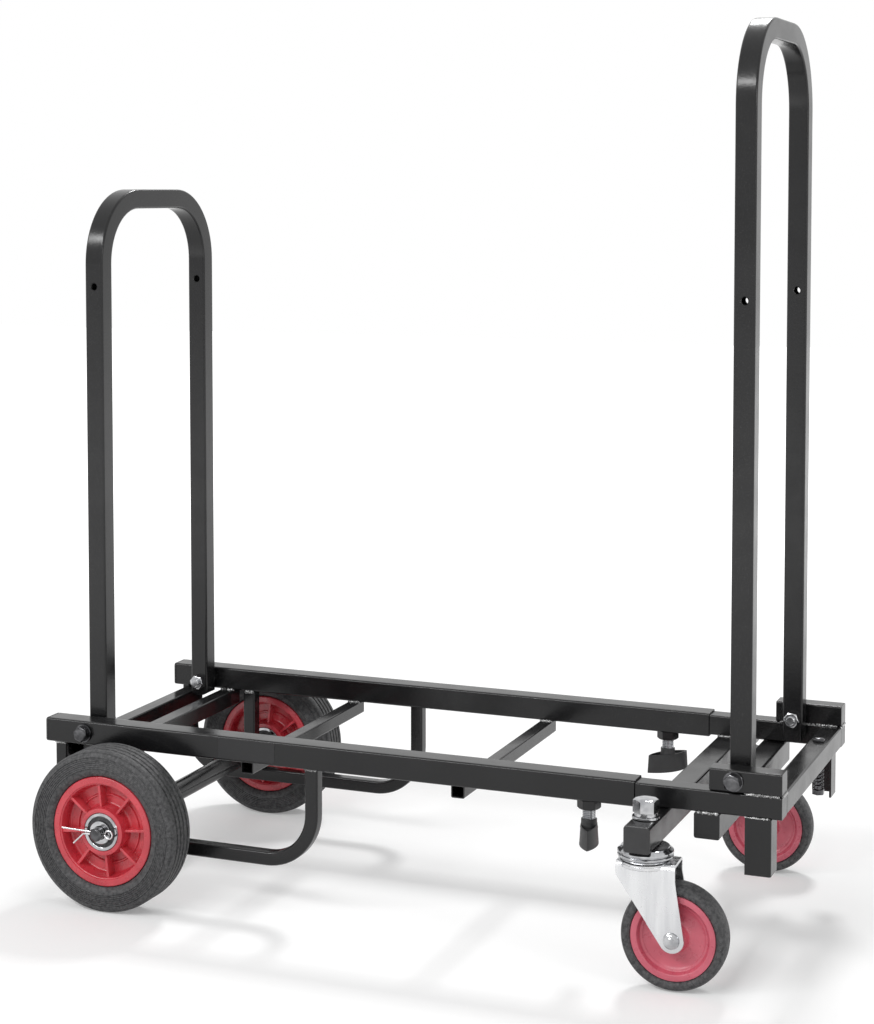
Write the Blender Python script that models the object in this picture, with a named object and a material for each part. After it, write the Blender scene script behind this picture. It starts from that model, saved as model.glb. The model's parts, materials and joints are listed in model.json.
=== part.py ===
# Folding platform trolley with two telescoping side rails, two fold-down loop handles,
# two large rear wheels on one axle and two swivel casters at the front.
# Units are metres. X runs from the rear wheels to the casters, Y to the left, Z up.
# The floor is at zero height, and the middle of the frame is over the origin.

import math

import bmesh
import bpy
from mathutils import Matrix, Vector

# Gaps between pieces
SEAT = 0.0003             # left between two pieces that rest on each other
RUN = 0.0005              # round a turning shaft
OVERRUN = 0.004           # how far a cutting shape runs past the face it opens

# Side rails
CROSSBAR_REACH = 0.193    # from the middle to each end of the caster crossbar, the trolley's half width
RAIL_INSET = 0.069        # from the crossbar's end in to the middle of a rail
RAIL_Y = CROSSBAR_REACH - RAIL_INSET
RAIL_Z = 0.1506
FRAME_LENGTH = 0.7046
OUTER_SIZE = 0.0224
OUTER_WALL = 0.00135
OUTER_CORNER = 0.0022
OUTER_SETBACK = 0.126     # from the frame's front end back to the outer rails' front ends
OUTER_LENGTH = FRAME_LENGTH - OUTER_SETBACK
INNER_SIZE = 0.01905
INNER_WALL = 0.0012
INNER_CORNER = 0.0018
INNER_START = 0.0583      # from the frame's rear end to the inner rails' rear ends
INNER_LENGTH = FRAME_LENGTH - INNER_START
PLUG_FLANGE = 0.002
PLUG_SPIGOT = 0.014

# Cross tubes welded under the outer rails
BROAD_TUBE = 0.0159
SLIM_TUBE = 0.0127
CROSS_WALL = 0.0012
CROSS_CORNER = 0.0015
CROSS_OVERHANG = 0.001    # of a cross tube's end past the middle of the rail above it
CROSS_REACH = RAIL_Y + CROSS_OVERHANG
REAR_CROSS_X = 0.02325    # distances from the frame's rear end to the middle of each tube
SECOND_CROSS_X = 0.06325
THIRD_CROSS_X = 0.2075
FOURTH_SETBACK = 0.16395  # from the outer rails' front ends to the middle of the fourth tube
FOURTH_CROSS_X = OUTER_LENGTH - FOURTH_SETBACK

# Wheel guard hoops, axle and its posts
HOOP_SIZE = 0.0127
HOOP_CORNER = 0.002
HOOP_REAR_X = 0.0135
HOOP_SPAN = 0.2608
HOOP_BEND = 0.045
HOOP_CLEARANCE = 0.045    # floor to the underside of a hoop
AXLE_X = 0.0878
POST_SIZE = 0.0127
POST_INSET = 0.0046       # from the middle of a rail in to the middle of a post
POST_Y = RAIL_Y - POST_INSET
AXLE_TUBE_RADIUS = 0.0095
AXLE_RADIUS = 0.006
AXLE_END = 0.0085         # rod beyond the washer
AXLE_WASHER_RADIUS = 0.0105
AXLE_WASHER = 0.002

# Rear wheels
WHEEL_RADIUS = 0.075
WHEEL_STANDOFF = 0.042    # from the middle of a rail out to the middle of a wheel
WHEEL_Y = RAIL_Y + WHEEL_STANDOFF
TYRE_WIDTH = 0.038
TYRE_BEAD_WIDTH = 0.031
TYRE_SIDE_SHARES = (0.3, 0.68)     # of the wall's height, where the side is widest
TYRE_SHOULDER_SHARES = (0.9, 0.9)  # of the half width, and of the wall's height
GROOVE_DEPTH = 0.0016
GROOVE_WIDTH = 0.0026
GROOVE_PITCH = 0.0062
GROOVE_COUNT = 4
HUB_RADIUS = 0.0508
HUB_RIM = 0.0078
HUB_WIDTH = 0.032
HUB_WEB = 0.005
HUB_BOSS_RADIUS = 0.022
HUB_BOSS_WIDTH = 0.034
RIB_COUNT = 8
RIB_THICKNESS = 0.0044
RIB_WIDTH = 0.026
RIB_TURN = math.radians(10)
BEARING_RADIUS = 0.0175
BEARING_STEP = 0.0032     # width of the bright outer ring
SEAL_DEPTH = 0.0012
BEARING_COLLAR = 0.0032
COTTER_WIRE = 0.0008      # radius of each half of the split pin
COTTER_EYE = 0.0042
COTTER_LEG = 0.014
COTTER_HOLE = 0.0022

# Loop handles
HANDLE_TUBE = 0.0186
HANDLE_WALL = 0.0013
HANDLE_CORNER = 0.0035
LEG_INSET = 0.0235        # from the middle of a rail in to the middle of a handle's leg
HANDLE_LEG_Y = RAIL_Y - LEG_INSET
REAR_PIVOT_X = 0.0413
REAR_LOCK_HEIGHT = 0.4186  # lock holes above each pivot
FRONT_LOCK_HEIGHT = 0.398
REAR_LOCK_DROP = 0.0914   # from the rear handle's top down to its lock holes
REAR_HANDLE_HEIGHT = REAR_LOCK_HEIGHT + REAR_LOCK_DROP
REAR_HANDLE_BEND = 0.0617
REAR_LEG_END = 0.0147
FRONT_PIVOT_X = 0.0411    # from the frame's front end
FRONT_HANDLE_HEIGHT = 0.637
FRONT_HANDLE_BEND = 0.0667
FRONT_LEG_END = 0.0215
LOCK_HOLE = 0.0034

# Pivot bolts
BOLT_RADIUS = 0.004
BOLT_HEAD = 0.013
BOLT_HEAD_HEIGHT = 0.0055
BOLT_WASHER_RADIUS = 0.0085
BOLT_WASHER = 0.0015
BOLT_NUT_HEIGHT = 0.0065
BOLT_TAIL = 0.003
BOLT_FLAT_SHARE = 0.8     # of the head's height, below its rounded crown

# Front frame that slides with the inner rails
BLOCK_LENGTH = 0.0618
FRONT_BAR = 0.0222
FRONT_BAR_WALL = 0.0015
FRONT_BAR_CORNER = 0.002
CROSSBAR_X = 0.1069       # distances from the frame's front end
CAP_FLANGE = 0.002
CAP_SPIGOT = 0.012
FRONT_CROSS_X = 0.0636
VENT_RADIUS = 0.0025      # hole under the closed front cross tube
STAND_SETBACK = 0.0086    # from the frame's front end to the front face of a stand leg
STAND_SIZE = 0.0222       # both flanges of its angle section
STAND_WALL = 0.002
STAND_HEIGHT = 0.093      # floor to the foot of a stand leg

# Swivel casters
CASTER_INSET = 0.028      # from the crossbar's end in to the caster's stem
CASTER_Y = CROSSBAR_REACH - CASTER_INSET
CASTER_TRAIL = 0.0255
CASTER_TURN = math.radians(3)
CASTER_RADIUS = 0.045
CASTER_TYRE_WIDTH = 0.0245
CASTER_TYRE_SHARES = ((0.86, 0), (1, 0.3), (0.92, 0.75), (0.6, 1))  # of half width and wall
CASTER_HUB_RADIUS = 0.036
CASTER_RIM = 0.0055
CASTER_RIM_WIDTH = 0.021
CASTER_WEB = 0.007
CASTER_BOSS_RADIUS = 0.0115
CASTER_BOSS_WIDTH = 0.0258
FORK_GAP = 0.027
FORK_SHEET = 0.0026
FORK_TOP = 0.1072
FORK_BACK = 0.022         # plate behind the stem
FORK_FRONT = 0.028        # plate ahead of the stem
FORK_DROP = 0.011
FORK_TIP_RADIUS = 0.0105
FORK_TIP_FROM = math.radians(212)  # where the leg's rear edge meets the round tip
FORK_BEND = 0.004
FORK_BEND_SHARE = 0.5      # an even arc
RACE_RADIUS = 0.0235
RACE_SHARES = ((1, 0.86), (0.72, 1), (0.3, 1), (0, 0.9))  # of its height and its radius
FORK_DISH_SHARE = 0.96    # of the race's radius, at the foot of the dish under it
STEM_RADIUS = 0.006
STEM_NUT = 0.017
STEM_NUT_HEIGHT = 0.0075
STEM_HEAD = 0.022
STEM_HEAD_HEIGHT = 0.0135
STEM_FLAT_SHARE = 0.84
STEM_WASHER_RADIUS = 0.0115
STEM_WASHER = 0.002
LOCK_WASHER_RADIUS = 0.0098
LOCK_WASHER = 0.003
WHEEL_BOLT_RADIUS = 0.004
WHEEL_BOLT_HEAD = 0.013
WHEEL_BOLT_HEIGHT = 0.0042
WHEEL_BOLT_FLAT_SHARE = 0.75

# Clamp knobs under the outer rails
KNOB_SETBACK = 0.0433     # from the outer rails' front ends to the middle of a knob
KNOB_X = OUTER_LENGTH - KNOB_SETBACK
KNOB_NUT = 0.018
KNOB_NUT_HEIGHT = 0.0085
KNOB_NUT_CHAMFER = 0.0025
STUD_RADIUS = 0.0058
STUD_SHOWING = 0.009
KNOB_COLLAR_RADIUS = 0.0069
KNOB_COLLAR = 0.004
WING_LENGTH = 0.046
WING_WIDTH = 0.0168
WING_HEIGHT = 0.014
WING_RISE = 0.0075
WING_FOOT_SHARES = (0.88, 0.7)     # of the wing's length and width, at its underside
WING_EDGE_SHARE = 0.2              # of the wing's height
WING_NECK_SHARES = (0.62, 0.98)    # of the wing's length and width, on the way to the collar
WING_NECK_RISE_SHARE = 0.45
NEAR_WING_TURN = math.radians(103.4)
FAR_WING_TURN = math.radians(48)

# Sprung catch pin in the end tube
CATCH_INSET = 0.0655      # from the middle of the left rail in to the pin
CATCH_Y = RAIL_Y - CATCH_INSET
CATCH_RADIUS = 0.003
CATCH_HEAD_RADIUS = 0.0055
CATCH_HEAD = 0.003
CATCH_CROWN_SHARES = (0.6, 0.7)    # of the head's height and its radius
CATCH_NUT = 0.010
CATCH_NUT_HEIGHT = 0.0045
SPRING_LENGTH = 0.0245
SPRING_RADIUS = 0.0044
SPRING_WIRE = 0.00065
SPRING_TURNS = 7
SPRING_STEPS = 8          # points in each turn

# Facets
WHEEL_STEPS = 32
CASTER_STEPS = 28
SMALL_STEPS = 20
BOLT_STEPS = 12
BEND_STEPS = 6
CORNER_STEPS = 2
TIP_STEPS = 7
EYE_STEPS = 10
WIRE_STEPS = 6

# Places that follow from the sizes above
REAR_END = -FRAME_LENGTH / 2
FRONT_END = FRAME_LENGTH / 2
OUTER_UNDER = RAIL_Z - OUTER_SIZE / 2
INNER_UNDER = RAIL_Z - INNER_SIZE / 2
OUTER_FACE = RAIL_Y + OUTER_SIZE / 2
INNER_FACE = RAIL_Y + INNER_SIZE / 2
FRONT_PIVOT_Z = RAIL_Z + INNER_SIZE + SEAT
LEG_OUTSIDE = HANDLE_LEG_Y + HANDLE_TUBE / 2
LEG_INSIDE = HANDLE_LEG_Y - HANDLE_TUBE / 2
CROSSBAR_TOP = INNER_UNDER - SEAT
CROSSBAR_UNDER = CROSSBAR_TOP - FRONT_BAR
AXLE_PLACE = Vector((REAR_END + AXLE_X, 0, WHEEL_RADIUS))
REAR_PIVOT = Vector((REAR_END + REAR_PIVOT_X, 0, RAIL_Z))
FRONT_PIVOT = Vector((FRONT_END - FRONT_PIVOT_X, 0, FRONT_PIVOT_Z))

SIDES = (("left", 1), ("right", -1))
X_AXIS = Vector((1, 0, 0))
Y_AXIS = Vector((0, 1, 0))
Z_AXIS = Vector((0, 0, 1))


def clear_scene():
    for item in list(bpy.data.objects):
        bpy.data.objects.remove(item, do_unlink=True)


def make_finish(name, colour, roughness, metallic):
    finish = bpy.data.materials.new(name)
    finish.use_nodes = True
    shader = finish.node_tree.nodes["Principled BSDF"]
    shader.inputs["Base Color"].default_value = (*colour, 1)
    shader.inputs["Roughness"].default_value = roughness
    shader.inputs["Metallic"].default_value = metallic
    return finish


def make_finishes():
    return {
        "frame": make_finish("black_powder_coat", (0.018, 0.018, 0.019), 0.42, 0.0),
        "zinc": make_finish("zinc_plate", (0.62, 0.63, 0.65), 0.28, 1.0),
        "dark_steel": make_finish("blackened_steel", (0.05, 0.05, 0.052), 0.38, 1.0),
        "red": make_finish("red_plastic", (0.52, 0.035, 0.055), 0.4, 0.0),
        "rubber": make_finish("tyre_rubber", (0.03, 0.03, 0.032), 0.75, 0.0),
        "plastic": make_finish("black_plastic", (0.02, 0.02, 0.021), 0.5, 0.0),
    }


def add_body(name, place, turn=0, parent=None):
    # an empty on a joint's axis, which carries the pieces that move together
    body = bpy.data.objects.new(name, None)
    bpy.context.collection.objects.link(body)
    body.parent = parent
    body.location = place
    body.rotation_euler = (0, 0, turn)
    return body


def add_piece(name, mesh_maker, finish, body, smooth_angle=math.radians(34)):
    bmesh.ops.recalc_face_normals(mesh_maker, faces=mesh_maker.faces)
    mesh = bpy.data.meshes.new(name)
    mesh_maker.to_mesh(mesh)
    mesh_maker.free()
    mesh.shade_smooth()
    mesh.set_sharp_from_angle(angle=smooth_angle)
    piece = bpy.data.objects.new(name, mesh)
    bpy.context.collection.objects.link(piece)
    piece.parent = body
    if finish:
        mesh.materials.append(finish)
    return piece


def combine(piece, maker, operation="DIFFERENCE"):
    # cuts a hidden shape from the piece, or joins it on
    guide = add_piece(piece.name + "_guide", maker, None, piece)
    guide.hide_render = True
    guide.display_type = "WIRE"
    step = piece.modifiers.new(operation.title(), "BOOLEAN")
    step.operation = operation
    step.solver = "EXACT"
    step.object = guide


def facing(origin, run, across):
    # a frame whose local Z is run and whose local X is across
    matrix = Matrix((across, run.cross(across), run)).transposed().to_4x4()
    matrix.translation = origin
    return matrix


def sideways(origin, side):
    # a frame whose local Z points out to the given side
    return facing(origin, Y_AXIS * side, X_AXIS)


def upright(origin):
    return facing(origin, Z_AXIS, X_AXIS)


def lengthwise(origin):
    return facing(origin, X_AXIS, Y_AXIS)


def square_outline(size, corner, extra_shares=()):
    # a rounded square, with added points along the sides that face +Y and -Y
    middle = size / 2 - corner
    points = []
    for quarter in range(4):
        heading = math.radians(45 + 90 * quarter)
        centre_x = math.copysign(middle, math.cos(heading))
        centre_y = math.copysign(middle, math.sin(heading))
        for step in range(CORNER_STEPS + 1):
            angle = math.radians(90 * (quarter + step / CORNER_STEPS))
            points.append((centre_x + corner * math.cos(angle), centre_y + corner * math.sin(angle)))
        if quarter in (0, 2):
            direction = 1 if quarter == 0 else -1
            for share in extra_shares:
                points.append((direction * share * middle, direction * size / 2))
    return points


def angle_outline(size, wall, corner, side):
    # an angle section: its rounded edge is at the front and outside, and one flange runs inward
    points = [(-size, 0)]
    for step in range(CORNER_STEPS + 1):
        angle = math.radians(90 * (1 - step / CORNER_STEPS))
        points.append((corner * (math.cos(angle) - 1), corner * (math.sin(angle) - 1)))
    points += [(0, -size), (-wall, -size), (-wall, -wall), (-size, -wall)]
    return [(x, side * y) for x, y in points]


def round_outline(radius, steps, turn_share=0):
    # a circle, whose points may be turned by a share of the step between them
    points = []
    for i in range(steps):
        angle = math.tau * (i + turn_share) / steps
        points.append((radius * math.cos(angle), radius * math.sin(angle)))
    return points


def hex_outline(across_flats, steps):
    # a hexagon with as many points as the rounds that it is joined to
    points = []
    for i in range(steps):
        angle = math.tau * i / steps
        turn = (angle + math.radians(30)) % math.radians(60) - math.radians(30)
        reach = across_flats / 2 / math.cos(turn)
        points.append((reach * math.cos(angle), reach * math.sin(angle)))
    return points


def leaf_outline(length, width, steps):
    # a four-cornered leaf whose points lie on the long axis
    points = []
    for i in range(steps):
        angle = math.tau * i / steps
        reach = 1 / (abs(math.cos(angle)) * 2 / length + abs(math.sin(angle)) * 2 / width)
        points.append((reach * math.cos(angle), reach * math.sin(angle)))
    return points


def ring(outline, height, matrix):
    return [matrix @ Vector((x, y, height)) for x, y in outline]


def skin(maker, rings, looped=False):
    # joins rings of equal count, and closes the first and last unless the rings form a loop
    rows = [[maker.verts.new(point) for point in points] for points in rings]
    spans = len(rows) if looped else len(rows) - 1
    for row in range(spans):
        here = rows[row]
        there = rows[(row + 1) % len(rows)]
        for i in range(len(here)):
            j = (i + 1) % len(here)
            maker.faces.new((here[i], here[j], there[j], there[i]))
    if not looped:
        maker.faces.new(rows[0])
        maker.faces.new(rows[-1])
    return maker


def bar(matrix, outline, start, end):
    return skin(bmesh.new(), [ring(outline, start, matrix), ring(outline, end, matrix)])


def open_tube(matrix, size, wall, corner, start, end):
    outside = square_outline(size, corner)
    inside = square_outline(size - 2 * wall, corner / 2)
    return skin(bmesh.new(), [ring(outside, start, matrix), ring(outside, end, matrix),
                              ring(inside, end, matrix), ring(inside, start, matrix)], looped=True)


def blind_tube(matrix, size, wall, corner, start, end):
    # open at the start and closed by a welded plate at the end
    outside = square_outline(size, corner)
    inside = square_outline(size - 2 * wall, corner / 2)
    return skin(bmesh.new(), [ring(inside, end - wall, matrix), ring(inside, start, matrix),
                              ring(outside, start, matrix), ring(outside, end, matrix)])


def turned(matrix, stations, steps, looped=False):
    # stations are pairs of height and radius along the local Z
    rings = [ring(round_outline(radius, steps), height, matrix) for height, radius in stations]
    return skin(bmesh.new(), rings, looped)


def stacked(matrix, stations):
    # stations are pairs of height and outline along the local Z
    return skin(bmesh.new(), [ring(outline, height, matrix) for height, outline in stations])


def cylinder(matrix, radius, start, end, steps=BOLT_STEPS):
    # for cutting a bore: no edge of it lies on a middle plane of the piece
    return bar(matrix, round_outline(radius, steps, 0.5), start, end)


def box(low, high):
    maker = bmesh.new()
    bmesh.ops.create_cube(maker, size=1)
    centre = (Vector(low) + Vector(high)) / 2
    extent = Vector(high) - Vector(low)
    bmesh.ops.scale(maker, vec=extent, verts=maker.verts)
    bmesh.ops.translate(maker, vec=centre, verts=maker.verts)
    return maker


def loop_path(half_span, foot, height, bend, across, rise, origin):
    # points and headings along an inverted U: up one leg, round two bends, down the other
    path = [(origin - across * half_span + rise * foot, rise)]
    for corner, start in ((-1, 0), (1, 90)):
        centre = origin + across * corner * (half_span - bend) + rise * (height - bend)
        for step in range(BEND_STEPS + 1):
            angle = math.radians(start + 90 * step / BEND_STEPS)
            point = centre - across * bend * math.cos(angle) + rise * bend * math.sin(angle)
            path.append((point, across * math.sin(angle) + rise * math.cos(angle)))
    path.append((origin + across * half_span + rise * foot, -rise))
    return path


def section_ring(outline, point, heading, plane_normal):
    outward = plane_normal.cross(heading)
    return [point + plane_normal * x + outward * y for x, y in outline]


def add_outer_rail(side_name, side, body, finishes):
    start = REAR_END + PLUG_FLANGE + SEAT
    end = REAR_END + OUTER_LENGTH
    place = lengthwise(Vector((0, side * RAIL_Y, RAIL_Z)))
    rail = add_piece("outer_rail_" + side_name,
                     open_tube(place, OUTER_SIZE, OUTER_WALL, OUTER_CORNER, start, end),
                     finishes["frame"], body)
    across = sideways(Vector((REAR_PIVOT.x, side * RAIL_Y, RAIL_Z)), side)
    combine(rail, cylinder(across, BOLT_RADIUS + SEAT, -OUTER_SIZE, OUTER_SIZE))
    stud = upright(Vector((REAR_END + KNOB_X, side * RAIL_Y, OUTER_UNDER)))
    combine(rail, cylinder(stud, STUD_RADIUS + RUN, -OVERRUN, OUTER_WALL + OVERRUN))


def add_plug(name, matrix, size, wall, corner, flange, spigot, finish, body):
    # a moulded end plug: a flange over the tube's end and a spigot inside it
    fit = size - 2 * wall - 2 * SEAT
    stations = [(flange, square_outline(size - flange / 2, corner)),
                (flange / 2, square_outline(size, corner)),
                (0, square_outline(size, corner)),
                (0, square_outline(fit, corner / 2)),
                (SEAT - spigot, square_outline(fit - 2 * SEAT, corner / 2))]
    return add_piece(name, stacked(matrix, stations), finish, body)


def add_cross_tubes(body, finishes):
    # the rear one ends between the hoops
    hoop_inside = RAIL_Y - HOOP_SIZE / 2 - SEAT
    tubes = (("cross_tube_rear", REAR_CROSS_X, BROAD_TUBE, hoop_inside),
             ("cross_tube_second", SECOND_CROSS_X, BROAD_TUBE, CROSS_REACH),
             ("cross_tube_third", THIRD_CROSS_X, SLIM_TUBE, CROSS_REACH),
             ("cross_tube_fourth", FOURTH_CROSS_X, SLIM_TUBE, CROSS_REACH))
    for name, distance, size, reach in tubes:
        place = sideways(Vector((REAR_END + distance, 0, OUTER_UNDER - SEAT - size / 2)), 1)
        add_piece(name, open_tube(place, size, CROSS_WALL, CROSS_CORNER, -reach, reach),
                  finishes["frame"], body)


def add_hoop(side_name, side, body, finishes):
    # the hoop hangs from the rail, so its path is a U that opens upwards
    foot = OUTER_UNDER - SEAT
    low = HOOP_CLEARANCE + HOOP_SIZE / 2
    origin = Vector((REAR_END + HOOP_REAR_X + HOOP_SPAN / 2, side * RAIL_Y, foot))
    path = loop_path(HOOP_SPAN / 2, 0, foot - low, HOOP_BEND, X_AXIS, -Z_AXIS, origin)
    outline = square_outline(HOOP_SIZE, HOOP_CORNER)
    rings = [section_ring(outline, point, heading, Y_AXIS) for point, heading in path]
    add_piece("hoop_" + side_name, skin(bmesh.new(), rings), finishes["frame"], body)


def add_axle(body, finishes):
    hub_inside = WHEEL_Y - HUB_BOSS_WIDTH / 2
    reach = hub_inside - SEAT
    place = sideways(AXLE_PLACE, 1)
    bore = AXLE_RADIUS + RUN
    wall = [(-reach, AXLE_TUBE_RADIUS), (reach, AXLE_TUBE_RADIUS), (reach, bore), (-reach, bore)]
    add_piece("axle_tube", turned(place, wall, SMALL_STEPS, looped=True), finishes["frame"], body)
    washer_face = WHEEL_Y + HUB_BOSS_WIDTH / 2 + SEAT
    end = washer_face + AXLE_WASHER + AXLE_END
    chamfer = AXLE_RADIUS / 6
    rod = turned(place, [(-end, AXLE_RADIUS - chamfer), (chamfer - end, AXLE_RADIUS),
                         (end - chamfer, AXLE_RADIUS), (end, AXLE_RADIUS - chamfer)], SMALL_STEPS)
    rod = add_piece("axle_rod", rod, finishes["zinc"], body)
    for side_name, side in SIDES:
        post_place = upright(AXLE_PLACE + Y_AXIS * side * POST_Y)
        post = add_piece("axle_post_" + side_name,
                         bar(post_place, square_outline(POST_SIZE, CROSS_CORNER), 0,
                             OUTER_UNDER - SEAT - AXLE_PLACE.z), finishes["frame"], body)
        combine(post, cylinder(place, AXLE_TUBE_RADIUS + SEAT, -hub_inside, hub_inside, SMALL_STEPS))
        outward = sideways(AXLE_PLACE, side)
        washer_end = washer_face + AXLE_WASHER
        add_piece("axle_washer_" + side_name,
                  turned(outward, [(washer_face, bore), (washer_face, AXLE_WASHER_RADIUS),
                                   (washer_end, AXLE_WASHER_RADIUS), (washer_end, bore)],
                         SMALL_STEPS, looped=True), finishes["zinc"], body)
        pin_place = AXLE_PLACE + Y_AXIS * side * (washer_end + SEAT + COTTER_HOLE)
        half_bore = AXLE_RADIUS + OVERRUN
        combine(rod, cylinder(lengthwise(pin_place), COTTER_HOLE, -half_bore, half_bore))
        add_cotter_pin(side_name, pin_place, body, finishes)


def add_cotter_pin(side_name, place, body, finishes):
    # one wire: out along a leg, round the eye and back along the other leg
    apart = COTTER_WIRE + SEAT
    eye_x = AXLE_RADIUS + COTTER_EYE + COTTER_WIRE
    tip = -AXLE_RADIUS - COTTER_LEG
    spread = COTTER_EYE / 2
    points = [Vector((tip, 0, apart + spread)), Vector((-AXLE_RADIUS - COTTER_WIRE, 0, apart)),
              Vector((AXLE_RADIUS, 0, apart))]
    opening = math.asin(apart / COTTER_EYE)
    for step in range(EYE_STEPS + 1):
        angle = math.pi - opening - (math.tau - 2 * opening) * step / EYE_STEPS
        points.append(Vector((eye_x + COTTER_EYE * math.cos(angle), 0, COTTER_EYE * math.sin(angle))))
    points += [Vector((AXLE_RADIUS, 0, -apart)), Vector((-AXLE_RADIUS - COTTER_WIRE, 0, -apart)),
               Vector((tip, 0, -apart - spread))]
    outline = round_outline(COTTER_WIRE, WIRE_STEPS)
    rings = []
    for index, point in enumerate(points):
        before = points[max(index - 1, 0)]
        after = points[min(index + 1, len(points) - 1)]
        rings.append(section_ring(outline, place + point, (after - before).normalized(), Y_AXIS))
    add_piece("cotter_pin_" + side_name, skin(bmesh.new(), rings), finishes["zinc"], body)


def tyre_profile():
    # half widths and radii from one bead over the tread to the other
    half = TYRE_WIDTH / 2
    bead = TYRE_BEAD_WIDTH / 2
    bore = HUB_RADIUS + SEAT
    wall = WHEEL_RADIUS - bore
    side = [(-bead, bore)] + [(-half, bore + wall * share) for share in TYRE_SIDE_SHARES]
    side.append((-half * TYRE_SHOULDER_SHARES[0], bore + wall * TYRE_SHOULDER_SHARES[1]))
    tread = []
    for index in range(GROOVE_COUNT):
        middle = (index - (GROOVE_COUNT - 1) / 2) * GROOVE_PITCH
        tread += [(middle - GROOVE_WIDTH / 2, WHEEL_RADIUS), (middle, WHEEL_RADIUS - GROOVE_DEPTH),
                  (middle + GROOVE_WIDTH / 2, WHEEL_RADIUS)]
    other_side = [(-height, radius) for height, radius in reversed(side)]
    return side + tread + other_side


def add_rear_wheel(side_name, side, rear_frame, finishes):
    place = AXLE_PLACE + Y_AXIS * side * WHEEL_Y
    body = add_body("rear_wheel_" + side_name + "_axis", place, parent=rear_frame)
    outward = sideways(Vector(), side)
    add_piece("rear_tyre_" + side_name, turned(outward, tyre_profile(), WHEEL_STEPS, looped=True),
              finishes["rubber"], body)
    rim = HUB_RADIUS - HUB_RIM
    web = HUB_WEB / 2
    draft = HUB_WEB / 4
    bore = BEARING_RADIUS + SEAT
    half = HUB_WIDTH / 2
    boss = HUB_BOSS_WIDTH / 2
    profile = [(-half, HUB_RADIUS), (half, HUB_RADIUS), (half, rim), (web, rim - draft),
               (web, HUB_BOSS_RADIUS + draft), (boss, HUB_BOSS_RADIUS), (boss, bore),
               (-boss, bore), (-boss, HUB_BOSS_RADIUS), (-web, HUB_BOSS_RADIUS + draft),
               (-web, rim - draft), (-half, rim)]
    hub = add_piece("rear_hub_" + side_name, turned(outward, profile, WHEEL_STEPS, looped=True),
                    finishes["red"], body)
    ribs = bmesh.new()
    root = (bore + HUB_BOSS_RADIUS) / 2
    tip = HUB_RADIUS - HUB_RIM / 2
    for index in range(RIB_COUNT):
        spin = Matrix.Rotation(side * RIB_TURN + math.tau * index / RIB_COUNT, 4, "Z")
        place = outward @ spin @ facing(Vector(), X_AXIS, Y_AXIS)
        thick = RIB_THICKNESS / 2
        deep = RIB_WIDTH / 2
        shape = [(-thick, -deep), (thick, -deep), (thick, deep), (-thick, deep)]
        skin(ribs, [ring(shape, root, place), ring(shape, tip, place)])
    combine(hub, ribs, "UNION")
    ring_inside = BEARING_RADIUS - BEARING_STEP
    collar = AXLE_RADIUS + RUN + BEARING_COLLAR
    axle_bore = AXLE_RADIUS + RUN
    half = HUB_BOSS_WIDTH / 2
    seal = half - SEAL_DEPTH
    cartridge = [(-half, BEARING_RADIUS), (half, BEARING_RADIUS), (half, ring_inside), (seal, ring_inside),
                 (seal, collar), (half, collar), (half, axle_bore), (-half, axle_bore)]
    add_piece("rear_bearing_" + side_name, turned(outward, cartridge, SMALL_STEPS, looped=True),
              finishes["zinc"], body)


def add_handle(name, body, height, bend, leg_end, lock_height, finishes):
    # a bent square tube with open feet that are rounded about the pivot
    shares = (0,)
    path = loop_path(HANDLE_LEG_Y, 0, height - HANDLE_TUBE / 2, bend, Y_AXIS, Z_AXIS, Vector())
    skins = []
    for outline in (square_outline(HANDLE_TUBE, HANDLE_CORNER, shares),
                    square_outline(HANDLE_TUBE - 2 * HANDLE_WALL, HANDLE_CORNER / 2, shares)):
        rings = [section_ring(outline, point, heading, X_AXIS) for point, heading in path]
        for foot in (rings[0], rings[-1]):
            for point in foot:
                point.z = -math.sqrt(leg_end ** 2 - point.x ** 2)
        skins.append(rings)
    handle = add_piece(name, skin(bmesh.new(), skins[0] + skins[1][::-1], looped=True),
                       finishes["frame"], body)
    for side_name, side in SIDES:
        pivot = sideways(Y_AXIS * side * HANDLE_LEG_Y, side)
        combine(handle, cylinder(pivot, BOLT_RADIUS + SEAT, -HANDLE_TUBE, HANDLE_TUBE))
        lock = sideways(Vector((0, side * HANDLE_LEG_Y, lock_height)), side)
        combine(handle, cylinder(lock, LOCK_HOLE, -HANDLE_TUBE, HANDLE_TUBE))


def add_pivot_bolt(name, place, side, face, collar_from, body, finishes):
    # head and washer outside the rail, a spacing collar beside the leg and the nut inside it
    head = hex_outline(BOLT_HEAD, BOLT_STEPS)
    washer = round_outline(BOLT_WASHER_RADIUS, BOLT_STEPS)
    shank = round_outline(BOLT_RADIUS, BOLT_STEPS)
    crown = round_outline(BOLT_HEAD / 2, BOLT_STEPS)
    nut_from = LEG_INSIDE - SEAT
    washer_from = face + SEAT
    head_from = washer_from + BOLT_WASHER
    stations = [(nut_from - BOLT_NUT_HEIGHT - BOLT_TAIL, shank), (nut_from - BOLT_NUT_HEIGHT, shank),
                (nut_from - BOLT_NUT_HEIGHT, head), (nut_from, head), (nut_from, shank),
                (LEG_OUTSIDE + SEAT, shank), (LEG_OUTSIDE + SEAT, washer), (collar_from - SEAT, washer),
                (collar_from - SEAT, shank), (washer_from, shank), (washer_from, washer), (head_from, washer),
                (head_from, head), (head_from + BOLT_HEAD_HEIGHT * BOLT_FLAT_SHARE, head),
                (head_from + BOLT_HEAD_HEIGHT, crown)]
    add_piece(name, stacked(sideways(place, side), stations), finishes["dark_steel"], body)


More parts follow.
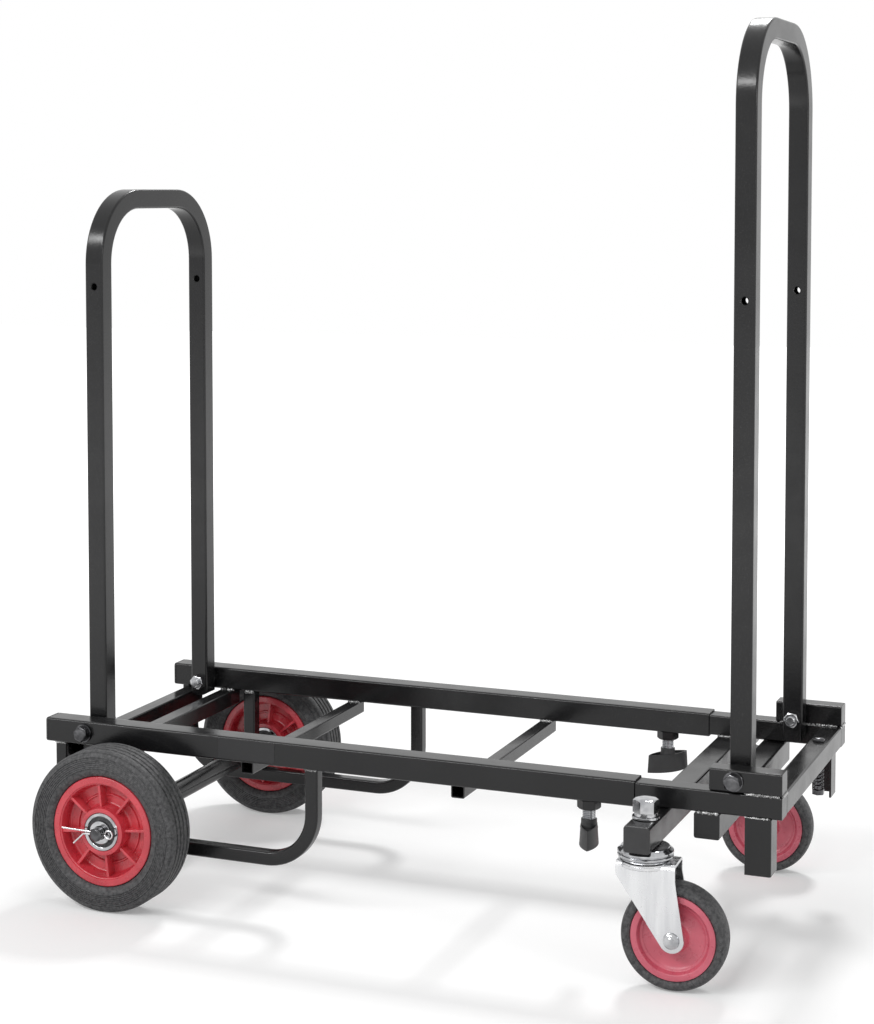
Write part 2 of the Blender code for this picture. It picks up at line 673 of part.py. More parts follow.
def add_knob_nut(side_name, side, body, finishes):
    top = OUTER_UNDER - SEAT
    low = top - KNOB_NUT_HEIGHT
    hexagon = hex_outline(KNOB_NUT, BOLT_STEPS)
    narrow = round_outline(KNOB_NUT / 2 - KNOB_NUT_CHAMFER / 2, BOLT_STEPS)
    bore = round_outline(STUD_RADIUS + RUN, BOLT_STEPS)
    place = upright(Vector((REAR_END + KNOB_X, side * RAIL_Y, 0)))
    stations = [(top, hexagon), (low + KNOB_NUT_CHAMFER, hexagon), (low, narrow), (low, bore), (top, bore)]
    rings = [ring(outline, height, place) for height, outline in stations]
    add_piece("knob_nut_" + side_name, skin(bmesh.new(), rings, looped=True), finishes["frame"], body)


def add_clamp_knob(side_name, side, turn, rear_frame, finishes):
    place = Vector((REAR_END + KNOB_X, side * RAIL_Y, 0))
    body = add_body("clamp_knob_" + side_name + "_axis", place, turn, rear_frame)
    steps = SMALL_STEPS
    nut_under = OUTER_UNDER - SEAT - KNOB_NUT_HEIGHT
    collar_top = nut_under - STUD_SHOWING
    wing_top = collar_top - KNOB_COLLAR - WING_RISE
    wing_low = wing_top - WING_HEIGHT
    foot = leaf_outline(WING_LENGTH * WING_FOOT_SHARES[0], WING_WIDTH * WING_FOOT_SHARES[1], steps)
    wing = leaf_outline(WING_LENGTH, WING_WIDTH, steps)
    neck = leaf_outline(WING_LENGTH * WING_NECK_SHARES[0], WING_WIDTH * WING_NECK_SHARES[1], steps)
    stations = [(wing_low, foot), (wing_low + WING_HEIGHT * WING_EDGE_SHARE, wing), (wing_top, wing),
                (wing_top + WING_RISE * WING_NECK_RISE_SHARE, neck),
                (wing_top + WING_RISE, round_outline(KNOB_COLLAR_RADIUS, steps)),
                (collar_top, round_outline(KNOB_COLLAR_RADIUS, steps)),
                (collar_top, round_outline(STUD_RADIUS, steps)),
                (INNER_UNDER - SEAT, round_outline(STUD_RADIUS, steps))]
    add_piece("clamp_knob_" + side_name, stacked(upright(Vector()), stations), finishes["plastic"], body)


def add_inner_rail(side_name, side, body, finishes):
    place = lengthwise(Vector((0, side * RAIL_Y, RAIL_Z)))
    add_piece("inner_rail_" + side_name,
              blind_tube(place, INNER_SIZE, INNER_WALL, INNER_CORNER, FRONT_END - INNER_LENGTH, FRONT_END),
              finishes["frame"], body)


def add_pivot_block(side_name, side, body, finishes):
    place = lengthwise(Vector((0, side * RAIL_Y, FRONT_PIVOT_Z)))
    start = FRONT_END - BLOCK_LENGTH
    block = add_piece("pivot_block_" + side_name,
                      blind_tube(place, INNER_SIZE, INNER_WALL, INNER_CORNER, start, FRONT_END),
                      finishes["frame"], body)
    across = sideways(Vector((FRONT_PIVOT.x, side * RAIL_Y, FRONT_PIVOT_Z)), side)
    combine(block, cylinder(across, BOLT_RADIUS + SEAT, -INNER_SIZE, INNER_SIZE))


def add_crossbar(body, finishes):
    # carries both casters under the inner rails
    middle = Vector((FRONT_END - CROSSBAR_X, 0, CROSSBAR_TOP - FRONT_BAR / 2))
    reach = CROSSBAR_REACH - CAP_FLANGE - SEAT
    tube = open_tube(sideways(middle, 1), FRONT_BAR, FRONT_BAR_WALL, FRONT_BAR_CORNER, -reach, reach)
    crossbar = add_piece("caster_crossbar", tube, finishes["frame"], body)
    for side_name, side in SIDES:
        stem = upright(Vector((middle.x, side * CASTER_Y, 0)))
        bore = STEM_RADIUS + SEAT
        combine(crossbar, cylinder(stem, bore, CROSSBAR_UNDER - OVERRUN, CROSSBAR_TOP + OVERRUN))
        end = sideways(middle + Y_AXIS * side * (CROSSBAR_REACH - CAP_FLANGE), side)
        add_plug("crossbar_cap_" + side_name, end, FRONT_BAR, FRONT_BAR_WALL, FRONT_BAR_CORNER,
                 CAP_FLANGE, CAP_SPIGOT, finishes["plastic"], body)
        add_caster_bolt(side_name, stem, body, finishes)
        race_low = FORK_TOP + SEAT
        race_top = CROSSBAR_UNDER - SEAT
        rise = race_top - race_low
        race = [(race_low + rise * height, RACE_RADIUS * radius) for height, radius in RACE_SHARES]
        race = [(race_top, bore)] + race + [(race_low, bore)]
        add_piece("caster_race_" + side_name, turned(stem, race, SMALL_STEPS, looped=True),
                  finishes["zinc"], body)


def add_caster_bolt(side_name, stem, body, finishes):
    nut = hex_outline(STEM_NUT, BOLT_STEPS)
    shank = round_outline(STEM_RADIUS, BOLT_STEPS)
    head = hex_outline(STEM_HEAD, BOLT_STEPS)
    crown = round_outline(STEM_HEAD / 2, BOLT_STEPS)
    plain = round_outline(STEM_WASHER_RADIUS, BOLT_STEPS)
    sprung = round_outline(LOCK_WASHER_RADIUS, BOLT_STEPS)
    nut_top = FORK_TOP - FORK_SHEET - SEAT
    washer_low = CROSSBAR_TOP + SEAT
    washer_top = washer_low + STEM_WASHER
    head_low = washer_top + LOCK_WASHER
    head_top = head_low + STEM_HEAD_HEIGHT
    stations = [(nut_top - STEM_NUT_HEIGHT, nut), (nut_top, nut), (nut_top, shank), (washer_low, shank),
                (washer_low, plain), (washer_top, plain), (washer_top, sprung), (head_low, sprung),
                (head_low, head), (head_low + STEM_HEAD_HEIGHT * STEM_FLAT_SHARE, head), (head_top, crown)]
    add_piece("caster_bolt_" + side_name, stacked(stem, stations), finishes["zinc"], body)


def add_front_cross_parts(body, finishes):
    reach = INNER_FACE
    middle = Vector((FRONT_END - FRONT_CROSS_X, 0, CROSSBAR_TOP - FRONT_BAR / 2))
    frame = sideways(middle, 1)
    outside = square_outline(FRONT_BAR, FRONT_BAR_CORNER)
    inside = square_outline(FRONT_BAR - 2 * FRONT_BAR_WALL, FRONT_BAR_CORNER / 2)
    hollow = reach - FRONT_BAR_WALL
    cross_tube = add_piece("front_cross_tube", bar(frame, outside, -reach, reach), finishes["frame"], body)
    combine(cross_tube, bar(frame, inside, -hollow, hollow))
    combine(cross_tube, cylinder(upright(middle), VENT_RADIUS, -FRONT_BAR, 0))
    reach = RAIL_Y - INNER_SIZE / 2 - SEAT
    middle = Vector((FRONT_END - INNER_SIZE / 2, 0, RAIL_Z))
    end_tube = add_piece("end_tube",
                         open_tube(sideways(middle, 1), INNER_SIZE, INNER_WALL, INNER_CORNER, -reach, reach),
                         finishes["frame"], body)
    pin = upright(Vector((middle.x, CATCH_Y, RAIL_Z)))
    combine(end_tube, cylinder(pin, CATCH_RADIUS + SEAT, -INNER_SIZE, INNER_SIZE))
    for side_name, side in SIDES:
        place = upright(Vector((FRONT_END - STAND_SETBACK, side * OUTER_FACE, 0)))
        angle = angle_outline(STAND_SIZE, STAND_WALL, FRONT_BAR_CORNER, side)
        add_piece("stand_leg_" + side_name, bar(place, angle, STAND_HEIGHT, CROSSBAR_TOP),
                  finishes["frame"], body)


def add_catch(front_frame, finishes):
    # a pin through the end tube, held down by the spring round it
    place = Vector((FRONT_END - INNER_SIZE / 2, CATCH_Y, 0))
    body = add_body("catch_pin_axis", place, parent=front_frame)
    tube_under = RAIL_Z - INNER_SIZE / 2
    head_low = RAIL_Z + INNER_SIZE / 2 + SEAT
    spring_top = tube_under - SEAT
    spring_low = spring_top - SPRING_LENGTH
    nut_top = spring_low - SEAT
    shank = round_outline(CATCH_RADIUS, BOLT_STEPS)
    head = round_outline(CATCH_HEAD_RADIUS, BOLT_STEPS)
    nut = hex_outline(CATCH_NUT, BOLT_STEPS)
    stations = [(nut_top - CATCH_NUT_HEIGHT, nut), (nut_top, nut), (nut_top, shank), (head_low, shank),
                (head_low, head), (head_low + CATCH_HEAD * CATCH_CROWN_SHARES[0], head),
                (head_low + CATCH_HEAD, round_outline(CATCH_HEAD_RADIUS * CATCH_CROWN_SHARES[1], BOLT_STEPS))]
    add_piece("catch_pin", stacked(upright(Vector()), stations), finishes["dark_steel"], body)
    outline = round_outline(SPRING_WIRE, WIRE_STEPS)
    climb = SPRING_LENGTH - 2 * SPRING_WIRE
    count = SPRING_TURNS * SPRING_STEPS
    points = []
    rings = []
    for step in range(count + 1):
        share = step / count
        angle = math.tau * SPRING_TURNS * share
        radial = Vector((math.cos(angle), math.sin(angle), 0))
        tangent = Vector((-math.sin(angle), math.cos(angle), 0)) * SPRING_RADIUS * math.tau * SPRING_TURNS
        tangent.z = climb
        tangent.normalize()
        point = radial * SPRING_RADIUS + Z_AXIS * (spring_low + SPRING_WIRE + climb * share)
        points.append(point)
        side = tangent.cross(radial)
        rings.append([point + radial * x + side * y for x, y in outline])
    add_piece("catch_spring", skin(bmesh.new(), rings), finishes["dark_steel"], body)
    gap = min((points[i] - points[j]).length for i in range(count + 1)
              for j in range(i + SPRING_STEPS // 2, count + 1)) - 2 * SPRING_WIRE
    print("catch spring least gap to itself, mm:", round(gap * 1000, 2))


def fork_outline():
    # side view of the fork about the stem, from the rear of the top plate round the wheel bolt
    top = FORK_TOP
    low = CASTER_RADIUS
    points = [(-FORK_BACK, top), (-FORK_BACK, top - FORK_DROP)]
    for step in range(TIP_STEPS + 1):
        angle = FORK_TIP_FROM + (math.tau - FORK_TIP_FROM) * step / TIP_STEPS
        points.append((CASTER_TRAIL + FORK_TIP_RADIUS * math.cos(angle),
                       low + FORK_TIP_RADIUS * math.sin(angle)))
    points += [(FORK_FRONT, top - FORK_DROP), (FORK_FRONT, top)]
    return points


def add_caster(side_name, side, front_frame, finishes):
    stem = Vector((FRONT_END - CROSSBAR_X, side * CASTER_Y, 0))
    body = add_body("caster_" + side_name + "_axis", stem, CASTER_TURN, front_frame)
    half = FORK_GAP / 2 + FORK_SHEET
    profile = fork_outline()
    rings = [[Vector((x, y, z)) for x, z in profile] for y in (-half, half)]
    fork_mesh = skin(bmesh.new(), rings)
    long_edges = [edge for edge in fork_mesh.edges
                  if all(abs(vert.co.z - FORK_TOP) < SEAT for vert in edge.verts)
                  and abs(edge.verts[0].co.y - edge.verts[1].co.y) < SEAT]
    bmesh.ops.bevel(fork_mesh, geom=long_edges, offset=FORK_BEND, segments=2, affect="EDGES",
                    profile=FORK_BEND_SHARE)
    fork = add_piece("caster_fork_" + side_name, fork_mesh, finishes["zinc"], body)
    plate_under = FORK_TOP - FORK_SHEET
    dish = [(plate_under - FORK_SHEET, RACE_RADIUS * FORK_DISH_SHARE), (plate_under, RACE_RADIUS),
            (FORK_TOP, RACE_RADIUS)]
    combine(fork, turned(upright(Vector()), dish, SMALL_STEPS), "UNION")
    gap = box((-FORK_FRONT - RACE_RADIUS, -FORK_GAP / 2, -OVERRUN),
              (FORK_FRONT + RACE_RADIUS, FORK_GAP / 2, plate_under))
    combine(fork, gap)
    combine(fork, cylinder(upright(Vector()), STEM_RADIUS + RUN, plate_under - OVERRUN, FORK_TOP + OVERRUN))
    hub_place = Vector((CASTER_TRAIL, 0, CASTER_RADIUS))
    bolt_place = sideways(hub_place, side)
    combine(fork, cylinder(bolt_place, WHEEL_BOLT_RADIUS + SEAT, -half - OVERRUN, half + OVERRUN))
    shank = round_outline(WHEEL_BOLT_RADIUS, BOLT_STEPS)
    head = hex_outline(WHEEL_BOLT_HEAD, BOLT_STEPS)
    crown = round_outline(WHEEL_BOLT_HEAD / 2, BOLT_STEPS)
    seat = half + SEAT
    stations = [(-seat - WHEEL_BOLT_HEIGHT, head), (-seat, head), (-seat, shank), (seat, shank), (seat, head),
                (seat + WHEEL_BOLT_HEIGHT * WHEEL_BOLT_FLAT_SHARE, head), (seat + WHEEL_BOLT_HEIGHT, crown)]
    add_piece("caster_axle_" + side_name, stacked(bolt_place, stations), finishes["zinc"], body)

    wheel = add_body("caster_wheel_" + side_name + "_axis", hub_place, parent=body)
    outward = sideways(Vector(), side)
    tread = CASTER_TYRE_WIDTH / 2
    bead = CASTER_HUB_RADIUS + SEAT
    wall = CASTER_RADIUS - bead
    tyre = [(-tread * width, bead + wall * height) for width, height in CASTER_TYRE_SHARES]
    tyre += [(-height, radius) for height, radius in reversed(tyre)]
    add_piece("caster_tyre_" + side_name, turned(outward, tyre, CASTER_STEPS, looped=True),
              finishes["rubber"], wheel)
    rim = CASTER_HUB_RADIUS - CASTER_RIM
    rim_half = CASTER_RIM_WIDTH / 2
    web = CASTER_WEB / 2
    boss = CASTER_BOSS_WIDTH / 2
    bore = WHEEL_BOLT_RADIUS + RUN
    draft = CASTER_RIM / 3
    profile = [(rim_half, CASTER_HUB_RADIUS), (rim_half, rim), (web, rim - draft),
               (web, CASTER_BOSS_RADIUS + draft), (boss, CASTER_BOSS_RADIUS), (boss, bore)]
    profile += [(-height, radius) for height, radius in reversed(profile)]
    add_piece("caster_hub_" + side_name, turned(outward, profile, CASTER_STEPS, looped=True),
              finishes["red"], wheel)


def build_rear_frame(finishes):
    body = add_body("rear_frame", Vector())
    for side_name, side in SIDES:
        add_outer_rail(side_name, side, body, finishes)
        end = facing(Vector((REAR_END + PLUG_FLANGE, side * RAIL_Y, RAIL_Z)), -X_AXIS, Y_AXIS)
        add_plug("rail_plug_" + side_name, end, OUTER_SIZE, OUTER_WALL, OUTER_CORNER,
                 PLUG_FLANGE, PLUG_SPIGOT, finishes["plastic"], body)
        add_hoop(side_name, side, body, finishes)
        add_knob_nut(side_name, side, body, finishes)
        add_pivot_bolt("rear_pivot_bolt_" + side_name, REAR_PIVOT, side, OUTER_FACE,
                       RAIL_Y - OUTER_SIZE / 2, body, finishes)
    add_cross_tubes(body, finishes)
    add_axle(body, finishes)
    for side_name, side in SIDES:
        add_rear_wheel(side_name, side, body, finishes)
    add_clamp_knob("left", 1, FAR_WING_TURN, body, finishes)
    add_clamp_knob("right", -1, NEAR_WING_TURN, body, finishes)
    pivot = add_body("rear_handle_axis", REAR_PIVOT, parent=body)
    add_handle("rear_handle", pivot, REAR_HANDLE_HEIGHT, REAR_HANDLE_BEND, REAR_LEG_END,
               REAR_LOCK_HEIGHT, finishes)


def build_front_frame(finishes):
    body = add_body("front_frame", Vector())
    for side_name, side in SIDES:
        add_inner_rail(side_name, side, body, finishes)
        add_pivot_block(side_name, side, body, finishes)
        add_pivot_bolt("front_pivot_bolt_" + side_name, FRONT_PIVOT, side, INNER_FACE,
                       RAIL_Y - INNER_SIZE / 2, body, finishes)
    add_crossbar(body, finishes)
    add_front_cross_parts(body, finishes)
    add_catch(body, finishes)
    for side_name, side in SIDES:
        add_caster(side_name, side, body, finishes)
    pivot = add_body("front_handle_axis", FRONT_PIVOT, parent=body)
    add_handle("front_handle", pivot, FRONT_HANDLE_HEIGHT, FRONT_HANDLE_BEND, FRONT_LEG_END,
               FRONT_LOCK_HEIGHT, finishes)


clear_scene()
all_finishes = make_finishes()
build_rear_frame(all_finishes)
build_front_frame(all_finishes)
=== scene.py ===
# Looks for the folding platform trolley: black powder coated tube, red wheels, zinc casters.
# Metres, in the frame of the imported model: X from the rear wheels to the casters, Y to the left, Z up.

import json
import math
import random

import bmesh
import bpy
from mathutils import Matrix, Vector


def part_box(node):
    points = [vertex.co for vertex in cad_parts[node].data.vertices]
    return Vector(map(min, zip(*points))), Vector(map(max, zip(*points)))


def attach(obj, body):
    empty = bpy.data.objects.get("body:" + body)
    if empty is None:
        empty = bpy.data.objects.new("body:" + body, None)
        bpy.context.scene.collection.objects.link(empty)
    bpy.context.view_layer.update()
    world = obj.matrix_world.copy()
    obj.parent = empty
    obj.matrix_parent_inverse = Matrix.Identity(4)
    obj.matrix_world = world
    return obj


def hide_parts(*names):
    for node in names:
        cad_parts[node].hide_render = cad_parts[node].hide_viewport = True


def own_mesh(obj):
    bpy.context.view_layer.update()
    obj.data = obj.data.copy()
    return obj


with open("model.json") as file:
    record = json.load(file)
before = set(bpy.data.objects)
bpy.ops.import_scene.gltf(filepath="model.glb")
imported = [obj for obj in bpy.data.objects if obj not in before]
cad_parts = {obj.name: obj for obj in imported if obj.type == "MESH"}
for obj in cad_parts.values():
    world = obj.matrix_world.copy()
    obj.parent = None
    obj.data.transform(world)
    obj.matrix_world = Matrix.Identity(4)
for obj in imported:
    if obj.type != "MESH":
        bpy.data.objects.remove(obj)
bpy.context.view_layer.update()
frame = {"nodes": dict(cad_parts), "record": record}

xAxis, yAxis, zAxis = Vector((1, 0, 0)), Vector((0, 1, 0)), Vector((0, 0, 1))
sides = {"left": 1, "right": -1}
seat = 0.0003              # gap that the frame keeps between touching pieces
hair = 0.000002            # corners closer than this are one corner
tiny = 0.0001              # how near counts as being in a place


# small helpers for working as by hand

def showOnly(piece):
    bpy.ops.object.select_all(action="DESELECT")
    piece.select_set(True)
    bpy.context.view_layer.objects.active = piece


def settle(piece, name=None):
    # keeps the place in the mesh, so the object sits at the origin
    showOnly(piece)
    bpy.ops.object.transform_apply(location=True, rotation=True, scale=True)
    if name:
        piece.name = name
        piece.data.name = name
    return piece


def startEdit(piece):
    showOnly(piece)
    bpy.ops.object.mode_set(mode="EDIT")
    bpy.ops.mesh.select_mode(type="VERT")
    bpy.ops.mesh.select_all(action="SELECT")


def endEdit():
    bpy.ops.object.mode_set(mode="OBJECT")


def closeUp(gap=0.0):
    # merges what lies together, turns the faces outwards and leaves edit mode
    bpy.ops.mesh.select_all(action="SELECT")
    if gap:
        bpy.ops.mesh.remove_doubles(threshold=gap)
    bpy.ops.mesh.normals_make_consistent(inside=False)
    endEdit()


def pick(kind, test):
    # selects the corners, edges or faces of the piece in edit mode that pass the test
    mesh = bmesh.from_edit_mesh(bpy.context.object.data)
    bpy.ops.mesh.select_all(action="DESELECT")
    bpy.context.tool_settings.mesh_select_mode = (kind == "verts", kind == "edges", kind == "faces")
    mesh.select_mode = {kind[:-1].upper()}
    found = [part for part in getattr(mesh, kind) if test(part)]
    for part in found:
        part.select_set(True)
    mesh.select_flush_mode()
    bmesh.update_edit_mesh(bpy.context.object.data)


def extrude(move):
    bpy.ops.mesh.extrude_region_move(TRANSFORM_OT_translate={"value": move})


def modify(piece, kind, **settings):
    showOnly(piece)
    step = piece.modifiers.new(kind.title(), kind)
    for setting, value in settings.items():
        setattr(step, setting, value)
    bpy.ops.object.modifier_apply(modifier=step.name)


def combine(piece, tool, operation="DIFFERENCE"):
    modify(piece, "BOOLEAN", operation=operation, solver="EXACT", object=tool)
    bpy.data.objects.remove(tool)


def join(pieces):
    bpy.ops.object.select_all(action="DESELECT")
    for piece in pieces:
        piece.select_set(True)
    bpy.context.view_layer.objects.active = pieces[0]
    bpy.ops.object.join()
    return settle(pieces[0])


def copyOf(piece):
    twin = piece.copy()
    twin.data = piece.data.copy()
    bpy.context.collection.objects.link(twin)
    return twin


def block(low, high):
    low, high = Vector(low), Vector(high)
    bpy.ops.mesh.primitive_cube_add(size=1, location=(low + high) / 2, scale=high - low)
    return settle(bpy.context.object)


def roundBar(radius, start, end, steps):
    # a cylinder between two points
    start, end = Vector(start), Vector(end)
    bpy.ops.mesh.primitive_cylinder_add(vertices=steps, radius=radius, depth=(end - start).length)
    bar = bpy.context.object
    bar.rotation_mode = "QUATERNION"
    bar.rotation_quaternion = (end - start).to_track_quat("Z", "Y")
    bar.location = (start + end) / 2
    return settle(bar)


def drawLine(points, closed):
    # one corner of a plane, drawn on from point to point
    bpy.ops.mesh.primitive_plane_add(size=0.01)
    piece = bpy.context.object
    points = [Vector(point) for point in points]
    startEdit(piece)
    bpy.ops.mesh.merge(type="CENTER")
    bpy.ops.transform.translate(value=points[0])
    for here, there in zip(points, points[1:]):
        extrude(there - here)
    if closed:
        ends = (points[0], points[-1])
        pick("verts", lambda corner: min((corner.co - end).length for end in ends) < hair / 2)
        bpy.ops.mesh.edge_face_add()
    endEdit()
    return piece


def turnedPiece(profile, steps=72):
    # pairs of radius and height, spun about Z; a profile that starts away from the axis is a closed ring
    piece = drawLine([(radius, 0, height) for radius, height in profile], profile[0][0] > 0)
    startEdit(piece)
    bpy.ops.mesh.spin(steps=steps, angle=math.tau, center=(0, 0, 0), axis=(0, 0, 1))
    closeUp(hair)
    return piece


def evenPiece(half, steps=72, middle=()):
    # turned alike on both faces: pairs of radius and distance from the middle
    return turnedPiece([(radius, -away) for radius, away in half] + list(middle) + half[::-1], steps)


def roundEdges(piece, width, segments=2, angle=35):
    modify(piece, "BEVEL", width=width, segments=segments, limit_method="ANGLE",
           angle_limit=math.radians(angle), miter_outer="MITER_ARC", use_clamp_overlap=True)


def roundPicked(piece, test, width, segments=4):
    # rounds only the edges that pass the test
    startEdit(piece)
    pick("edges", test)
    bpy.ops.mesh.bevel(offset=width, segments=segments, affect="EDGES")
    endEdit()


def runsAlong(edge, axis):
    return abs((edge.verts[0].co - edge.verts[1].co).normalized()[axis]) > 0.9


def finishPiece(piece, name, look, body, nodes=(), smooth=32, weighted=True):
    settle(piece, name)
    bpy.ops.object.shade_smooth_by_angle(angle=math.radians(smooth))
    if weighted:
        modify(piece, "WEIGHTED_NORMAL", keep_sharp=True)
    piece.data.materials.clear()
    piece.data.materials.append(looks[look])
    if nodes:
        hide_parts(*nodes)
    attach(piece, body)


# finishes: a cloudy colour with or without specks, then gloss and grain
# cloud is scale and detail, specks scale, start and end, gloss smoothest and roughest,
# glossNoise scale and detail, grain scale, detail and depth

mouldedSockets = {"Specular IOR Level": 0.75, "Subsurface Weight": 0.06, "Subsurface Radius": (0.004, 0.001, 0.001)}
finishes = {
    "paint": {"name": "blackPowderCoat", "slot": "frame", "light": (0.0085, 0.0085, 0.009, 1),
              "dark": (0.0055, 0.0055, 0.006, 1), "cloud": (14.0, 2.0), "speck": (0.05, 0.05, 0.05, 1),
              "specks": (2300.0, 0.74, 0.80), "gloss": (0.17, 0.25), "glossNoise": (42.0, 2.0),
              "grain": (620.0, 1.0, 0.00004), "sockets": {"Specular IOR Level": 0.38}},
    "zinc": {"name": "brightZinc", "slot": "zinc", "metallic": 1.0, "light": (0.79, 0.795, 0.80, 1),
             "dark": (0.62, 0.625, 0.64, 1), "cloud": (85.0, 3.0), "stretch": (1, 1, 0.12), "gloss": (0.16, 0.30),
             "glossNoise": (170.0, 5.0), "grain": (1400.0, 2.0, 0.00002)},
    # the bolts' plating is set darker than the fork's zinc to stand for the dark reflections chrome would show:
    # painted dark reflection; the cloud within it is random tone
    "bolts": {"name": "platedSteel", "slot": "zinc", "metallic": 1.0, "light": (0.56, 0.565, 0.575, 1),
              "dark": (0.36, 0.365, 0.38, 1), "cloud": (120.0, 3.0), "gloss": (0.07, 0.16),
              "glossNoise": (240.0, 5.0), "grain": (1900.0, 2.0, 0.00001)},
    "blackSteel": {"name": "blackenedSteel", "slot": "dark_steel", "metallic": 1.0, "light": (0.13, 0.13, 0.135, 1),
                   "dark": (0.060, 0.060, 0.063, 1), "cloud": (160.0, 3.0), "gloss": (0.24, 0.14)},
    "red": {"name": "redMouldedPlastic", "slot": "red", "light": (0.62, 0.050, 0.070, 1),
            "dark": (0.47, 0.028, 0.044, 1), "cloud": (38.0, 3.0), "gloss": (0.24, 0.36), "glossNoise": (152.0, 2.0),
            "grain": (1500.0, 2.0, 0.00003), "sockets": mouldedSockets},
    "casterRed": {"name": "pinkRedPlastic", "slot": "red", "light": (0.62, 0.120, 0.170, 1),
                  "dark": (0.50, 0.080, 0.120, 1), "cloud": (44.0, 3.0), "gloss": (0.26, 0.38),
                  "glossNoise": (176.0, 2.0), "grain": (1500.0, 2.0, 0.00003), "sockets": mouldedSockets},
    "rubber": {"name": "greyBlackRubber", "slot": "rubber", "light": (0.076, 0.076, 0.078, 1),
               "dark": (0.026, 0.026, 0.028, 1), "cloud": (330.0, 4.0), "speck": (0.13, 0.13, 0.13, 1),
               "specks": (1500.0, 0.70, 0.80), "gloss": (0.5, 0.74), "glossNoise": (520.0, 3.0),
               "grain": (520.0, 3.0, 0.0006)},
    "plastic": {"name": "blackMouldedPlastic", "slot": "plastic", "light": (0.030, 0.030, 0.031, 1),
                "dark": (0.018, 0.018, 0.019, 1), "cloud": (60.0, 3.0), "gloss": (0.38, 0.52),
                "grain": (1600.0, 2.0, 0.00004)},
    "patch": {"name": "blankMattPatch", "slot": "plastic", "light": (0.016, 0.016, 0.017, 1),
              "dark": (0.010, 0.010, 0.011, 1), "cloud": (240.0, 3.0), "gloss": (0.55, 0.7)},
    # the welds are painted black like the frame; the pale grey patches in their colour are painted glints that stand
    # for highlights on the beads
    "weld": {"name": "glossyWeld", "slot": "frame", "light": (0.42, 0.42, 0.42, 1), "dark": (0.016, 0.016, 0.016, 1),
             "cloud": (520.0, 2.0), "cloudFrom": (0.48, 0.60), "gloss": (0.06, 0.2),
             "sockets": {"Specular IOR Level": 1.0, "Coat Weight": 1.0, "Coat Roughness": 0.05}}}


def noiseIn(look, scale, detail=2.0, stretch=(1, 1, 1)):
    nodes, links = look.node_tree.nodes, look.node_tree.links
    place = nodes.get("Texture Coordinate") or nodes.new("ShaderNodeTexCoord")
    spread = nodes.new("ShaderNodeMapping")
    spread.inputs["Scale"].default_value = stretch
    noise = nodes.new("ShaderNodeTexNoise")
    noise.inputs["Scale"].default_value = scale
    noise.inputs["Detail"].default_value = detail
    links.new(place.outputs["Object"], spread.inputs["Vector"])
    links.new(spread.outputs["Vector"], noise.inputs["Vector"])
    return noise.outputs["Fac"]


def between(look, source, low, high, start=0.35, end=0.65):
    # spreads a texture's middle values over a range
    node = look.node_tree.nodes.new("ShaderNodeMapRange")
    node.inputs["From Min"].default_value = start
    node.inputs["From Max"].default_value = end
    node.inputs["To Min"].default_value = low
    node.inputs["To Max"].default_value = high
    look.node_tree.links.new(source, node.inputs["Value"])
    return node.outputs["Result"]


def blendColours(look, factor, first, second):
    node = look.node_tree.nodes.new("ShaderNodeMix")
    node.data_type = "RGBA"
    for socket, value in ((node.inputs[6], first), (node.inputs[7], second)):
        if isinstance(value, tuple):
            socket.default_value = value
        else:
            look.node_tree.links.new(value, socket)
    look.node_tree.links.new(factor, node.inputs[0])
    return node.outputs[2]


def makeFinish(finish):
    look = bpy.data.materials.new(finish["name"])
    look.use_nodes = True
    nodes, links = look.node_tree.nodes, look.node_tree.links
    shader = nodes["Principled BSDF"]
    shader.inputs["Metallic"].default_value = finish.get("metallic", 0.0)
    noise = noiseIn(look, *finish["cloud"], finish.get("stretch", (1, 1, 1)))
    cloud = between(look, noise, 0.0, 1.0, *finish.get("cloudFrom", (0.35, 0.65)))
    tone = blendColours(look, cloud, finish["dark"], finish["light"])
    if "specks" in finish:
        scale, start, end = finish["specks"]
        specks = between(look, noiseIn(look, scale, 0.0), 0.0, 1.0, start, end)
        tone = blendColours(look, specks, tone, finish["speck"])
    links.new(tone, shader.inputs["Base Color"])
    if "glossNoise" in finish:
        rough = between(look, noiseIn(look, *finish["glossNoise"]), *finish["gloss"])
    else:
        rough = between(look, cloud, *finish["gloss"], 0.0, 1.0)
    links.new(rough, shader.inputs["Roughness"])
    if "grain" in finish:
        scale, detail, depth = finish["grain"]
        bump = nodes.new("ShaderNodeBump")
        bump.inputs["Strength"].default_value = 1.0
        bump.inputs["Distance"].default_value = depth
        links.new(noiseIn(look, scale, detail), bump.inputs["Height"])
        links.new(bump.outputs["Normal"], shader.inputs["Normal"])
    for socket, value in finish.get("sockets", {}).items():
        shader.inputs[socket].default_value = value
    return look


looks = {look: makeFinish(finish) for look, finish in finishes.items()}
for row in frame["record"]["subparts"]:
    look = next(look for look, finish in finishes.items() if finish["slot"] == row["material_slot"])
    node = frame["nodes"][row["node"]]
    node.data.materials.clear()
    node.data.materials.append(looks[look])
print("finishes made:", len(looks))


# shapes that several pieces share

def boxOf(node):
    low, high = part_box(node)
    return Vector(low), Vector(high)


def middleOf(node):
    low, high = boxOf(node)
    return (low + high) / 2


def facesOf(node, out):
    # the node's outer and inner face across the trolley
    low, high = boxOf(node)
    return (high.y, low.y) if out > 0 else (low.y, high.y)


turns = {"up": Matrix.Identity(4), "down": Matrix.Rotation(math.pi, 4, "X"),
         "left": Matrix.Rotation(-math.pi / 2, 4, "X"), "right": Matrix.Rotation(math.pi / 2, 4, "X")}


def put(piece, place, heading="up", turn=0.0):
    # a piece is modelled along Z, turned by some degrees about it and then stood at its place
    piece.matrix_world = Matrix.Translation(place) @ turns[heading] @ Matrix.Rotation(math.radians(turn), 4, "Z")
    return settle(piece)


